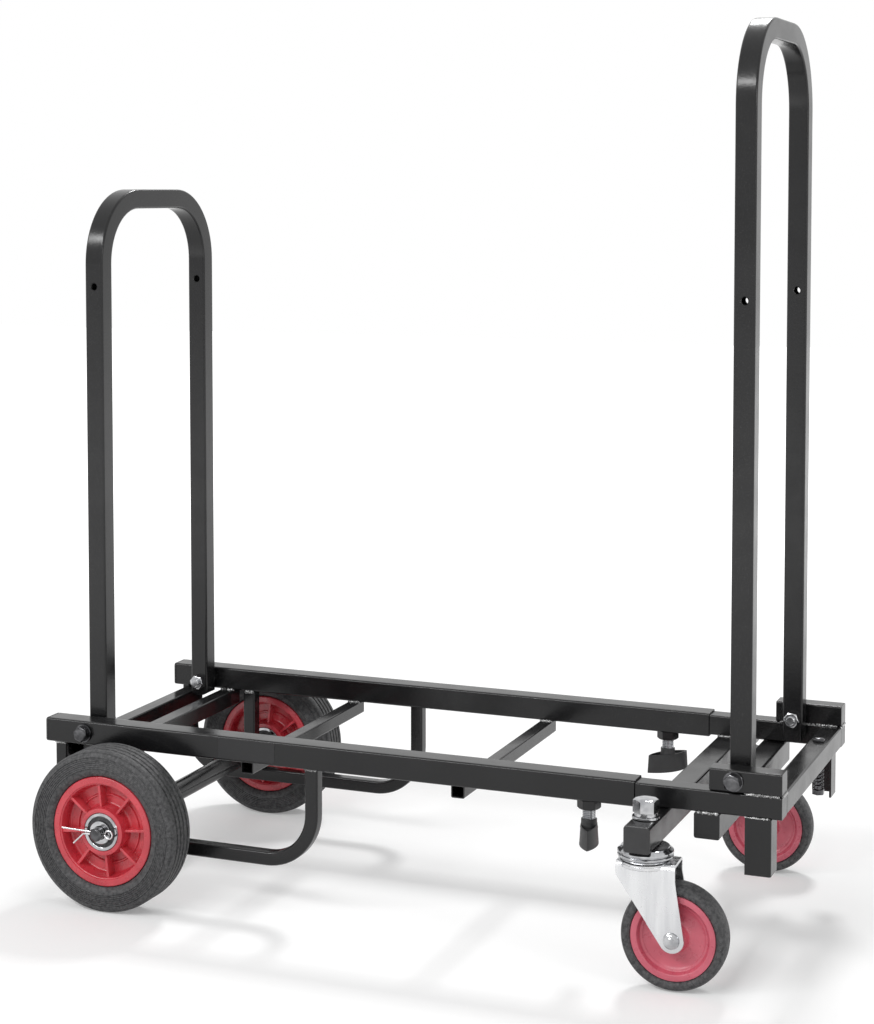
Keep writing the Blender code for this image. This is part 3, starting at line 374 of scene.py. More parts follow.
def squareTube(low, high, along, corner, wall=0.0, openEnds=(), rim=0.0003):
    # a box with rounded long edges, whose ends are opened or stay closed as by a welded plate
    piece = block(low, high)
    roundPicked(piece, lambda edge: runsAlong(edge, along), corner)
    startEdit(piece)
    if len(openEnds) == 2:
        pick("faces", lambda face: abs(face.normal[along]) > 0.9)
        bpy.ops.mesh.inset(thickness=wall)
        bpy.ops.mesh.bridge_edge_loops()
    elif openEnds:
        end = openEnds[0]
        pick("faces", lambda face: face.normal[along] * end > 0.9)
        bpy.ops.mesh.inset(thickness=wall)
        inward = Vector()
        inward[along] = -end * (high[along] - low[along] - wall)
        extrude(inward)
    endEdit()
    roundEdges(piece, rim, 2, 50)
    return piece


def tubeFor(node, name, body, along, tube, openEnds=()):
    # a tube as long and wide as its node
    rim = tube.get("plateEdge", 0.0003) if len(openEnds) < 2 else 0.0003
    piece = squareTube(*boxOf(node), along, tube["corner"], tube["wall"], openEnds, rim)
    finishPiece(piece, name, "paint", body, [node])


def bentLoop(section, corner, foot, rise, across, leg, span, bend, wall=0.0, bendSteps=16):
    # one square tube bent into a U: up a leg, round a bend, across, round a bend and down again
    bpy.ops.mesh.primitive_plane_add(size=section, location=foot)
    piece = settle(bpy.context.object)
    startEdit(piece)
    bpy.ops.mesh.bevel(offset=corner, segments=4, affect="VERTICES")
    bpy.ops.mesh.select_all(action="SELECT")
    turnAxis = rise.cross(across)
    centre = foot + rise * (leg - bend) + across * bend
    extrude(rise * (leg - bend))
    bpy.ops.mesh.spin(steps=bendSteps, angle=-math.pi / 2, center=centre, axis=turnAxis)
    centre += across * (span - 2 * bend)
    extrude(across * (span - 2 * bend))
    bpy.ops.mesh.spin(steps=bendSteps, angle=-math.pi / 2, center=centre, axis=turnAxis)
    extrude(-rise * (leg - bend))
    closeUp()
    if wall:
        startEdit(piece)
        pick("faces", lambda face: abs(face.normal.dot(rise)) > 0.99
             and abs((face.calc_center_median() - foot).dot(rise)) < section / 9)
        bpy.ops.mesh.delete(type="FACE")
        endEdit()
        modify(piece, "SOLIDIFY", thickness=wall, offset=-1, use_even_offset=True)
    return piece


hexShape = {"reach": 0.6, "cut": 0.55, "flatTop": 3.2, "merge": 0.00003, "edge": 0.0002}


def hexHead(acrossFlats, height, chamfer, crown=0.0):
    # a hexagon whose corners are turned off at the top; flats face X
    bpy.ops.mesh.primitive_cylinder_add(vertices=6, radius=acrossFlats / math.sqrt(3), depth=height + 0.004,
                                        location=(0, 0, height / 2 + 0.002))
    piece = settle(bpy.context.object)
    reach = acrossFlats * hexShape["reach"]
    rise = (reach - acrossFlats / 2 + chamfer) * hexShape["cut"]
    cone = turnedPiece([(0.0, -height), (reach, -height), (reach, height - rise),
                        (acrossFlats / 2 - chamfer, height), (acrossFlats / hexShape["flatTop"], height + crown),
                        (0.0, height + crown * 1.2)], 48)
    combine(piece, cone, "INTERSECT")
    startEdit(piece)
    bpy.ops.mesh.remove_doubles(threshold=hexShape["merge"])
    endEdit()
    roundEdges(piece, hexShape["edge"], 2, 24)
    return piece


def washer(inside, outside, low, high, edge=0.0002):
    return turnedPiece([(inside, low), (outside - edge, low), (outside, low + edge), (outside, high - edge),
                        (outside - edge, high), (inside, high)])


def shank(radius, point, low, high, steps):
    # a round rod with its lower end broken
    return turnedPiece([(0.0, low), (radius - point, low), (radius, low + point), (radius, high), (0.0, high)], steps)


def thread(radius, depth, pitch, length):
    # a thread cut on a rod: one ridge drawn as a line and wound up by the screw modifier
    ridge = ((radius - depth, 0), (radius - depth, 0.15), (radius, 0.5), (radius, 0.65), (radius - depth, 1))
    piece = drawLine([(x, 0, pitch * share) for x, share in ridge], False)
    modify(piece, "SCREW", angle=math.tau, screw_offset=pitch, iterations=round(length / pitch), steps=28,
           render_steps=28, use_merge_vertices=True, merge_threshold=0.00001)
    startEdit(piece)
    bpy.ops.mesh.remove_doubles(threshold=hair)
    bpy.ops.mesh.fill_holes(sides=0)
    closeUp()
    return piece


weld = {"radius": 0.0019, "ripple": 0.0016, "wobble": 0.0004, "firstSwell": 0.55, "swell": (0.9, 1.06), "steps": 12}
random.seed(7)


def weldBead(name, start, end, body, radius=None):
    # a rippled run of weld: a line of short swellings, squashed and a little uneven
    start, end = Vector(start), Vector(end)
    reach, length, ripple = radius or weld["radius"], (end - start).length, weld["ripple"]
    count = max(3, round(length / ripple))
    profile = [(0.0, 0.0)]
    for number in range(count):
        height = length * number / count
        swell = reach * (random.uniform(*weld["swell"]) if number else weld["firstSwell"])
        profile += [(swell * 0.86, height + ripple * 0.1), (swell, height + ripple * 0.5)]
    profile += [(reach * 0.5, length - ripple * 0.1), (0.0, length)]
    bead = turnedPiece(profile, weld["steps"])
    startEdit(bead)
    bpy.ops.transform.vertex_random(offset=weld["wobble"], seed=random.randint(0, 9999))
    endEdit()
    bead.matrix_world = Matrix.Translation(start) @ (end - start).to_track_quat("Z", "Y").to_matrix().to_4x4()
    finishPiece(bead, name, "weld", body, smooth=60, weighted=False)


# camera at the photograph's angle

photoView = {"place": (0.7269, -1.8217, 0.6586), "tilt": 86.5, "turn": 21.96, "lens": 74.076, "sensor": 36.0,
             "shiftUp": -0.1872, "sees": 60}
bpy.ops.object.camera_add(location=photoView["place"],
                          rotation=(math.radians(photoView["tilt"]), 0, math.radians(photoView["turn"])))
camera = bpy.context.object
camera.data.lens = photoView["lens"]
camera.data.sensor_width = photoView["sensor"]
camera.data.shift_y = photoView["shiftUp"]
camera.data.clip_end = photoView["sees"]
bpy.context.scene.camera = camera
print("camera stands")


# square tubes of both frames

outerRail = {"corner": 0.0022, "wall": 0.00135}
innerRail = {"corner": 0.0018, "wall": 0.0012, "plateEdge": 0.0007}
crossTube = {"corner": 0.0015, "wall": 0.0012}
frontBar = {"corner": 0.002, "wall": 0.0015, "plateEdge": 0.0006}
bothEnds, rearEnd = (1, -1), (-1,)
for side in sides:
    tubeFor("outer_rail_" + side, "outerRail_" + side, "rear_frame", 0, outerRail, bothEnds)
    tubeFor("inner_rail_" + side, "innerRail_" + side, "front_frame", 0, innerRail, rearEnd)
    tubeFor("pivot_block_" + side, "pivotBlock_" + side, "front_frame", 0, innerRail, rearEnd)
    tubeFor("axle_post_" + side, "axlePost_" + side, "rear_frame", 2, crossTube)
for place in ("rear", "second", "third", "fourth"):
    tubeFor("cross_tube_" + place, "crossTube_" + place, "rear_frame", 1, crossTube, bothEnds)
tubeFor("caster_crossbar", "casterCrossbar", "front_frame", 1, frontBar, bothEnds)
tubeFor("front_cross_tube", "frontCrossTube", "front_frame", 1, frontBar)
tubeFor("end_tube", "endTube", "front_frame", 1, innerRail, bothEnds)
print("square tubes ready")


# plugs in the tubes' ends and the blank patch on the near rail

plug = {"thick": 0.0021, "railCorner": 0.0026, "railEdge": 0.0008, "barCorner": 0.0024, "barEdge": 0.0007}
for side, out in sides.items():
    low, high = boxOf("rail_plug_" + side)
    high.x = low.x + plug["thick"]
    piece = squareTube(low, high, 0, plug["railCorner"], rim=plug["railEdge"])
    finishPiece(piece, "railPlug_" + side, "plastic", "rear_frame", ["rail_plug_" + side])
    low, high = boxOf("crossbar_cap_" + side)
    if out > 0:
        low.y = high.y - plug["thick"]
    else:
        high.y = low.y + plug["thick"]
    piece = squareTube(low, high, 1, plug["barCorner"], rim=plug["barEdge"])
    finishPiece(piece, "crossbarCap_" + side, "plastic", "front_frame", ["crossbar_cap_" + side])

patch = {"start": -0.1687, "end": -0.1118, "low": 0.1421, "high": 0.1607, "thick": 0.00022, "sunk": 0.0001,
         "corner": 0.0012}
face = boxOf("outer_rail_right")[0].y
sticker = block((patch["start"], face - patch["thick"], patch["low"]),
                (patch["end"], face + patch["sunk"], patch["high"]))
roundPicked(sticker, lambda edge: runsAlong(edge, 1), patch["corner"])
finishPiece(sticker, "blankPatch", "patch", "rear_frame")
print("plugs and patch ready")


# stand legs: an angle section drawn as an L and pushed up

standLeg = {"wall": 0.002, "corner": 0.002, "edge": 0.0003}
for side, out in sides.items():
    low, high = boxOf("stand_leg_" + side)
    outside, inside = facesOf("stand_leg_" + side, out)
    wall = standLeg["wall"]
    corners = [(low.x, outside), (high.x, outside), (high.x, inside), (high.x - wall, inside),
               (high.x - wall, outside - out * wall), (low.x, outside - out * wall)]
    leg = drawLine([(x, y, low.z) for x, y in corners], True)
    startEdit(leg)
    bpy.ops.mesh.edge_face_add()
    extrude((0, 0, high.z - low.z))
    closeUp()
    bend = Vector((high.x, outside))
    roundPicked(leg, lambda edge: all((corner.co.xy - bend).length < tiny for corner in edge.verts),
                standLeg["corner"])
    roundEdges(leg, standLeg["edge"], 2, 50)
    finishPiece(leg, "standLeg_" + side, "paint", "front_frame", ["stand_leg_" + side])
print("stand legs ready")


# hoops and the axle

hoop = {"corner": 0.0022, "bend": 0.045}
for side in sides:
    low, high = boxOf("hoop_" + side)
    size = high.y - low.y
    foot = Vector((low.x + size / 2, (low.y + high.y) / 2, high.z))
    loop = bentLoop(size, hoop["corner"], foot, -zAxis, xAxis, high.z - low.z - size / 2, high.x - low.x - size,
                    hoop["bend"])
    finishPiece(loop, "hoop_" + side, "paint", "rear_frame", ["hoop_" + side])

axle = {"bore": 0.0066, "tubeEdge": 0.0003, "rodEdges": ((0.0011, 0.0), (0.0008, 0.0002), (0.0, 0.001)),
        "washerBore": 0.0065}
low, high = boxOf("axle_tube")
reach, outside = (high.y - low.y) / 2, (high.z - low.z) / 2
axlePlace = middleOf("axle_tube")
edge = axle["tubeEdge"]
tube = evenPiece([(axle["bore"], reach), (outside - edge, reach), (outside, reach - edge)])
finishPiece(put(tube, axlePlace, "left"), "axleTube", "paint", "rear_frame", ["axle_tube"])
low, high = boxOf("axle_rod")
reach, radius = (high.y - low.y) / 2, (high.z - low.z) / 2
rim = [(radius - inward, reach - down) for inward, down in axle["rodEdges"]]
rod = evenPiece([(0.0, reach)] + rim)
finishPiece(put(rod, axlePlace, "left"), "axleRod", "blackSteel", "rear_frame", ["axle_rod"])
print("hoops and axle ready")


# rear wheels

rearTyre = {"radius": 0.075, "half": 0.019, "steps": 128, "ridges": 7, "ridgeFrom": 0.0585, "ridgeTo": 0.0705,
            "ridgeHeight": 0.0006, "bendFrom": 0.066, "bendOver": 0.009, "bendDrop": 0.0022,
            "grooves": (-0.0093, -0.0031, 0.0031, 0.0093), "grooveHalf": 0.0013, "grooveDepth": 0.0016,
            "floorShare": 0.6}
# from the bead out over the side wall with its fine moulded rings to the shoulder
wall = [(0.0511, 0.0145), (0.0517, 0.0155), (0.0528, 0.0168), (0.0545, 0.0181), (0.0565, 0.0187), (0.0580, 0.01895)]
for ridge in range(rearTyre["ridges"]):
    radius = rearTyre["ridgeFrom"] + (rearTyre["ridgeTo"] - rearTyre["ridgeFrom"]) * ridge / rearTyre["ridges"]
    share = max(0.0, (radius - rearTyre["bendFrom"]) / rearTyre["bendOver"])
    half = rearTyre["half"] - rearTyre["bendDrop"] * share * share
    wall += [(radius, half - rearTyre["ridgeHeight"]), (radius + 0.0003, half), (radius + 0.0009, half)]
wall += [(0.0712, 0.01805), (0.0728, 0.0171), (0.0731, 0.0164), (0.0735, 0.0165), (0.0743, 0.0153),
         (0.0748, 0.0140), (0.0750, 0.0125)]
tread = []
wide, radius = rearTyre["grooveHalf"], rearTyre["radius"]
narrow, floor = wide * rearTyre["floorShare"], radius - rearTyre["grooveDepth"]
for middle in rearTyre["grooves"]:
    tread += [(radius, middle - wide), (floor, middle - narrow), (floor, middle + narrow), (radius, middle + wide)]
tyre = evenPiece(wall, rearTyre["steps"], middle=tread)
for side in sides:
    finishPiece(put(copyOf(tyre), middleOf("rear_tyre_" + side), "left"), "rearTyre_" + side, "rubber",
                "rear_wheel_" + side, ["rear_tyre_" + side], 40)

rearHub = {"ribs": 8, "ribTurn": 6.0, "ribThick": 0.0030, "ribRoot": 0.0195, "ribTip": 0.0432, "ribHalf": 0.0132,
           "ribFlare": 1.25, "ribTaper": 0.72, "ribEdge": 0.0005, "steps": 96}
half = [(0.0508, 0.0146), (0.0506, 0.0154), (0.0500, 0.0159), (0.0492, 0.0160), (0.0452, 0.0160), (0.0446, 0.0158),
        (0.0442, 0.0150), (0.0436, 0.0148), (0.0431, 0.0143), (0.0428, 0.0130), (0.0416, 0.0046), (0.0408, 0.0032),
        (0.0394, 0.0026), (0.0330, 0.0025), (0.0322, 0.0040), (0.0312, 0.0040), (0.0304, 0.0026), (0.0252, 0.0026),
        (0.0236, 0.0034), (0.0228, 0.0050), (0.0221, 0.0156), (0.0217, 0.0166), (0.0208, 0.0170), (0.0183, 0.0170),
        (0.0178, 0.0167)]
hub = evenPiece(half, rearHub["steps"])
ribs = []
for number in range(rearHub["ribs"]):
    rib = block((rearHub["ribRoot"], -rearHub["ribThick"] / 2, -rearHub["ribHalf"]),
                (rearHub["ribTip"], rearHub["ribThick"] / 2, rearHub["ribHalf"]))
    startEdit(rib)
    pick("verts", lambda corner: corner.co.x > rearHub["ribRoot"] + tiny)
    bpy.ops.transform.resize(value=(1, rearHub["ribFlare"], 1))
    pick("faces", lambda face: abs(face.normal.z) > 0.9)
    bpy.ops.transform.resize(value=(1, rearHub["ribTaper"], 1))
    endEdit()
    roundEdges(rib, rearHub["ribEdge"], 3, 50)
    ribs.append(put(rib, Vector(), "up", 360 / rearHub["ribs"] * number))
hub = put(join([hub] + ribs), Vector(), "up", rearHub["ribTurn"])

# bearings: half profiles of the cartridge and of its seal, then the washer on the axle
half = [(0.0175, 0.0164), (0.0171, 0.0170), (0.0147, 0.0170), (0.0143, 0.0167), (0.0141, 0.0156), (0.0100, 0.0156),
        (0.0097, 0.0167), (0.0094, 0.0170), (0.0069, 0.0170), (0.0065, 0.0167)]
cartridge = evenPiece(half)
seal = turnedPiece([(0.0141, 0.0150), (0.0141, 0.0158), (0.0139, 0.0162), (0.0130, 0.0162), (0.0128, 0.0160),
                    (0.0112, 0.0160), (0.0110, 0.0162), (0.0102, 0.0162), (0.0100, 0.0158), (0.0100, 0.0150)])
for side, out in sides.items():
    wheelBody, place = "rear_wheel_" + side, middleOf("rear_hub_" + side)
    finishPiece(put(copyOf(hub), place, side), "rearHub_" + side, "red", wheelBody, ["rear_hub_" + side], 38)
    finishPiece(put(copyOf(cartridge), place, side), "rearBearing_" + side, "bolts", wheelBody,
                ["rear_bearing_" + side])
    seals = join([put(copyOf(seal), place, way) for way in sides])
    finishPiece(seals, "bearingSeals_" + side, "rubber", wheelBody)
    low, high = boxOf("axle_washer_" + side)
    thick = high.y - low.y
    plain = washer(axle["washerBore"], (high.x - low.x) / 2, 0, thick)
    start = middleOf("axle_washer_" + side) - yAxis * out * thick / 2
    finishPiece(put(plain, start, side), "axleWasher_" + side, "bolts", "rear_frame", ["axle_washer_" + side])
for pattern in (tyre, hub, cartridge, seal):
    bpy.data.objects.remove(pattern)

splitPin = {"wire": 0.0009, "apart": 0.0010, "eye": 0.0038, "eyeFrom": 163.0, "eyeSteps": 12, "rod": 0.006,
            "legReach": 0.038, "bentFrom": 0.0155, "bentReach": 0.026, "bentDrop": 0.0115}
for side in sides:
    # a bent wire: out along the straight leg, round the eye and back along the leg that is bent away
    apart, rod, reach = splitPin["apart"], splitPin["rod"], splitPin["legReach"]
    eye = rod + splitPin["eye"] + splitPin["wire"]
    path = [(-reach, apart * 1.6), (-reach * 0.6, apart * 1.3), (-rod, apart), (rod, apart)]
    for step in range(splitPin["eyeSteps"] + 1):
        angle = math.radians(splitPin["eyeFrom"] * (1 - 2 * step / splitPin["eyeSteps"]))
        path.append((eye + splitPin["eye"] * math.cos(angle), splitPin["eye"] * math.sin(angle)))
    path += [(rod, -apart), (-rod, -apart), (-splitPin["bentFrom"], -apart * 1.6),
             (-splitPin["bentReach"], -splitPin["bentDrop"])]
    bpy.ops.curve.primitive_bezier_curve_add()
    wire = bpy.context.object
    wire.data.splines.clear()
    line = wire.data.splines.new("POLY")
    line.points.add(len(path) - 1)
    for point, (x, z) in zip(line.points, path):
        point.co = (x, 0, z, 1)
    wire.data.bevel_depth = splitPin["wire"]
    wire.data.bevel_resolution = 3
    wire.data.use_fill_caps = True
    showOnly(wire)
    bpy.ops.object.convert(target="MESH")
    wire = bpy.context.object
    startEdit(wire)
    closeUp(hair)
    place = Vector((axlePlace.x, middleOf("cotter_pin_" + side).y, axlePlace.z))
    finishPiece(put(wire, place), "splitPin_" + side, "zinc", "rear_frame", ["cotter_pin_" + side], 60, False)
print("rear wheels ready")


# loop handles

handle = {"section": 0.0186, "corner": 0.0020, "wall": 0.0013, "lockHole": 0.0031, "holeEdge": 0.0008, "holeSteps": 31,
          "bendSteps": 20, "footSteps": 96, "below": 0.004, "past": 0.01,
          "rear_handle": {"bend": 0.0617, "pivotUp": 0.0147, "lockUp": 0.4186},
          "front_handle": {"bend": 0.0667, "pivotUp": 0.0215, "lockUp": 0.398}}
for name in ("rear_handle", "front_handle"):
    own = handle[name]
    low, high = boxOf(name)
    section = handle["section"]
    pivot = Vector(((low.x + high.x) / 2, 0, low.z + own["pivotUp"]))
    legY = high.y - section / 2
    foot = Vector((pivot.x, legY, low.z - handle["below"]))
    loop = bentLoop(section, handle["corner"], foot, zAxis, -yAxis, high.z - section / 2 - foot.z, 2 * legY,
                    own["bend"], handle["wall"], handle["bendSteps"])
    # the legs' feet are cut round about the pivot
    past = handle["past"]
    saddle = block((low.x - past, low.y - past, low.z - 2 * past), (high.x + past, high.y + past, pivot.z))
    combine(saddle, roundBar(own["pivotUp"], (pivot.x, low.y - 2 * past, pivot.z),
                             (pivot.x, high.y + 2 * past, pivot.z), handle["footSteps"]))
    combine(loop, saddle)
    for out in sides.values():
        # lock hole with its edges broken on both faces; the drill's slopes run on past the faces
        radius, edge, reach = handle["lockHole"], handle["holeEdge"], section / 2
        wide = radius + 2 * edge
        drill = evenPiece([(0.0, section), (wide, section), (wide, reach + edge), (radius, reach - edge)],
                          handle["holeSteps"])
        combine(loop, put(drill, Vector((pivot.x, out * legY, pivot.z + own["lockUp"])), "left"))
    finishPiece(loop, name.replace("_h", "H"), "paint", name, [name], 30)
print("handles ready")


# pivot bolts: a washered head outside, a collar beside the leg, a nut with its tail inside

pivotBolt = {"head": (0.013, 0.0055, 0.0006, 0.0003), "headTurn": 12, "nut": (0.013, 0.0065, 0.0006), "nutTurn": 20,
             "shank": 0.004, "pointed": 0.0006, "intoHead": 0.002, "tail": 0.0098, "bore": 0.0036, "washer": 0.0085,
             "washerThick": 0.0015}
for name, rail in (("rear", "outer_rail_"), ("front", "inner_rail_")):
    legOut = boxOf(name + "_handle")[1].y
    legIn = legOut - handle["section"]
    for side, out in sides.items():
        node, body = name + "_pivot_bolt_" + side, name + "_frame"
        axis = middleOf(node)
        axis.y = 0
        railOut, railIn = (abs(face) for face in facesOf(rail + side, out))
        rod = shank(pivotBolt["shank"], pivotBolt["pointed"], legIn - pivotBolt["tail"],
                    railOut + pivotBolt["intoHead"], 32)
        nut = put(hexHead(*pivotBolt["nut"]), zAxis * (legIn - seat), "down", pivotBolt["nutTurn"])
        finishPiece(put(join([rod, nut]), axis, side), name + "PivotNut_" + side, "bolts", body)
        headFrom = railOut + seat + pivotBolt["washerThick"]
        head = put(hexHead(*pivotBolt["head"]), zAxis * headFrom, "up", pivotBolt["headTurn"])
        bolt = join([washer(pivotBolt["bore"], pivotBolt["washer"], railOut + seat, headFrom),
                     washer(pivotBolt["bore"], pivotBolt["washer"], legOut + seat, railIn - seat), head])
        finishPiece(put(bolt, axis, side), name + "PivotBolt_" + side, "blackSteel", body, [node])
print("pivot bolts ready")


# clamp knobs: weld nut, threaded stud and a leaf-shaped wing

wing = {"length": 0.046, "width": 0.0168, "height": 0.0172, "foot": 0.0038, "edgeSteps": 18, "dish": 0.0026,
        "topInset": (0.94, 0.84), "dishInset": (0.96, 0.9), "footInset": (0.95, 0.86), "edge": 0.0004,
        "neck": 0.0078, "neckRise": 0.0014, "collar": 0.0069, "collarRise": 0.004,
        "turns": {"left": 48.0, "right": 103.4}}
stud = {"radius": 0.0058, "depth": 0.0009, "pitch": 0.0015, "sunk": 0.002}
weldNut = {"flats": 0.018, "chamfer": 0.0012, "bore": 0.0062, "turn": 14,
           "boreSteps": 47}    # an odd count keeps off the hexagon's spokes
arc = (wing["length"] ** 2 + wing["width"] ** 2) / (4 * wing["width"])
for side in sides:
    low, high = boxOf("clamp_knob_" + side)
    nutLow, nutHigh = boxOf("knob_nut_" + side)
    axis = middleOf("knob_nut_" + side)
    axis.z = 0
    nut = hexHead(weldNut["flats"], nutHigh.z - nutLow.z, weldNut["chamfer"])
    combine(nut, roundBar(weldNut["bore"], (0, 0, -0.01), (0, 0, 0.02), weldNut["boreSteps"]))
    put(nut, axis + zAxis * nutHigh.z, "down", weldNut["turn"])
    finishPiece(nut, "knobNut_" + side, "paint", "rear_frame", ["knob_nut_" + side])
    low.z += wing["foot"]
    top = low.z + wing["height"]
    outline = []
    for step in range(2 * wing["edgeSteps"]):
        # two shallow arcs that meet in the tips
        way = 1 if step < wing["edgeSteps"] else -1
        angle = way * math.asin(wing["length"] / 2 / arc) * (1 - 2 * (step % wing["edgeSteps"]) / wing["edgeSteps"])
        outline.append((arc * math.sin(angle), way * (arc * math.cos(angle) - arc + wing["width"] / 2), low.z))
    leaf = drawLine(outline, True)
    startEdit(leaf)
    bpy.ops.mesh.edge_face_add()
    for move, inset in ((0, (1, 1)), (wing["height"], (1, 1)), (0, wing["topInset"]),
                        (-wing["dish"], wing["dishInset"])):
        extrude((0, 0, move))
        bpy.ops.transform.resize(value=(*inset, 1))
    pick("faces", lambda face: face.normal.z < -0.9)
    bpy.ops.transform.resize(value=(*wing["footInset"], 1))
    closeUp(hair)
    roundEdges(leaf, wing["edge"], 3, 30)
    radius, rim = wing["collar"], top + wing["neckRise"]
    collarEnd = rim + wing["collarRise"]
    neck = turnedPiece([(0.0, top - 0.004), (wing["neck"] - 0.0004, top - 0.004), (wing["neck"], top - wing["dish"]),
                        (radius + 0.0002, top + wing["neckRise"] / 2), (radius, rim), (radius, collarEnd - 0.0006),
                        (radius - 0.0006, collarEnd), (0.0, collarEnd)])
    knob = put(join([leaf, neck]), axis, "up", wing["turns"][side])
    finishPiece(knob, "clampKnob_" + side, "plastic", "clamp_knob_" + side, ["clamp_knob_" + side], 30)
    studFrom = collarEnd - stud["sunk"]
    bolt = thread(stud["radius"], stud["depth"], stud["pitch"], high.z - studFrom)
    finishPiece(put(bolt, axis + zAxis * studFrom), "knobStud_" + side, "bolts", "clamp_knob_" + side)
print("clamp knobs ready")


# catch pin and its spring

catch = {"wire": 0.00065, "wireSteps": 12, "coil": 0.0044, "coilSteps": 36, "turns": 7, "pin": 0.003,
         "flange": 0.0055, "nut": (0.010, 0.0045, 0.0005)}
low, high = boxOf("catch_pin")
axis = middleOf("end_tube")
axis.y, axis.z = middleOf("catch_spring").y, 0
tubeTop = boxOf("end_tube")[1].z
radius, flange = catch["pin"], catch["flange"]
pin = turnedPiece([(0.0, low.z), (radius - 0.0004, low.z), (radius, low.z + 0.0004), (radius, tubeTop + seat),
                   (flange, tubeTop + seat), (flange, tubeTop + 0.0018), (flange - 0.0007, tubeTop + 0.0027),
                   (radius + 0.0002, high.z), (0.0, high.z)], 40)
nut = put(hexHead(*catch["nut"]), zAxis * low.z)
finishPiece(put(join([pin, nut]), axis), "catchPin", "blackSteel", "catch_pin", ["catch_pin"])
low, high = boxOf("catch_spring")
bpy.ops.mesh.primitive_circle_add(vertices=catch["wireSteps"], radius=catch["wire"], location=(catch["coil"], 0, 0),
                                  rotation=(math.pi / 2, 0, 0), fill_type="NOTHING")
spring = settle(bpy.context.object)
climb = high.z - low.z - 2 * catch["wire"]
modify(spring, "SCREW", angle=math.tau, screw_offset=climb / catch["turns"], iterations=catch["turns"],
       steps=catch["coilSteps"], render_steps=catch["coilSteps"], use_merge_vertices=True, merge_threshold=0.00001)
startEdit(spring)
bpy.ops.mesh.fill_holes(sides=0)
closeUp()
put(spring, axis + zAxis * (low.z + catch["wire"]))
finishPiece(spring, "catchSpring", "blackSteel", "front_frame", ["catch_spring"], 60, False)
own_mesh(spring)
print("catch ready")


# swivel casters

caster = {"turn": 3.0, "radius": 0.045, "trail": 0.0255, "gap": 0.027, "sheet": 0.0026, "back": 0.022,
          "front": 0.028, "drop": 0.011, "tip": 0.0105, "tipFrom": 212, "tipSweep": 148, "tipSteps": 16,
          "fold": 0.0042, "innerFold": 0.0018, "edge": 0.0004, "crease": 0.0045, "creaseStep": 0.0006}
casterTyre = [(0.0363, 0.0098), (0.0366, 0.0104), (0.0373, 0.0113), (0.0383, 0.0119), (0.0395, 0.01225),
              (0.0408, 0.0121), (0.0419, 0.0117), (0.0423, 0.0113), (0.0425, 0.0114), (0.0433, 0.0104),
              (0.0441, 0.0088), (0.0446, 0.0068), (0.0449, 0.0040)]
casterHub = [(0.0360, 0.0096), (0.0358, 0.0102), (0.0352, 0.0105), (0.0314, 0.0105), (0.0308, 0.0103),
             (0.0303, 0.0096), (0.0290, 0.0066), (0.0284, 0.0060), (0.0272, 0.0058), (0.0265, 0.0053),
             (0.0259, 0.0046), (0.0225, 0.0037), (0.0170, 0.0035), (0.0140, 0.0042), (0.0124, 0.0056),
             (0.0116, 0.0085), (0.0113, 0.0122), (0.0107, 0.0129), (0.0049, 0.0129), (0.0045, 0.0126)]
# radius and height above the cheek, then radius and depth below the fork's top
rivetHead = [(0.0, 0.0030), (0.0030, 0.0030), (0.0036, 0.0026), (0.0048, 0.0026), (0.0054, 0.0024), (0.0066, 0.0014),
             (0.0070, 0.0002), (0.0040, 0.0001)]
forkDishes = ([(0.0, 0.0024), (0.0222, 0.0024), (0.0228, 0.0004), (0.0208, 0.0002), (0.0, 0.0002)],
              [(0.0, 0.0052), (0.0212, 0.0052), (0.0226, 0.0042), (0.0230, 0.0020), (0.0, 0.0020)])
# share of the race's height and radius
race = [(1.0, 0.0192), (0.97, 0.0202), (0.84, 0.0214), (0.76, 0.0228), (0.70, 0.0234), (0.58, 0.0235),
        (0.54, 0.0231), (0.50, 0.0218), (0.45, 0.0218), (0.41, 0.0230), (0.36, 0.0234), (0.26, 0.0234),
        (0.20, 0.0228), (0.12, 0.0212), (0.0, 0.0209)]
casterBolt = {"raceBore": 0.0065, "radius": 0.006, "pointed": 0.0008, "washer": 0.0115, "washerThick": 0.002,
              "lock": 0.0098, "lockThick": 0.003, "lockGap": 0.0001, "slitTurn": -70, "intoHead": 0.002,
              "head": (0.0192, 0.0112, 0.0007, 0.0003), "headTurn": -8,
              "nut": (0.017, 0.0072, 0.0008), "nutUp": 0.0073, "nutTurn": 10}


def forkOutline(top):
    # side view: from the rear of the top plate, down the slanting rear edge, round the tip and up the front
    points = [(-caster["back"], top), (-caster["back"], top - caster["drop"])]
    for step in range(caster["tipSteps"] + 1):
        angle = math.radians(caster["tipFrom"] + caster["tipSweep"] * step / caster["tipSteps"])
        points.append((caster["trail"] + caster["tip"] * math.cos(angle),
                       caster["radius"] + caster["tip"] * math.sin(angle)))
    return points + [(caster["front"], top - caster["drop"]), (caster["front"], top)]


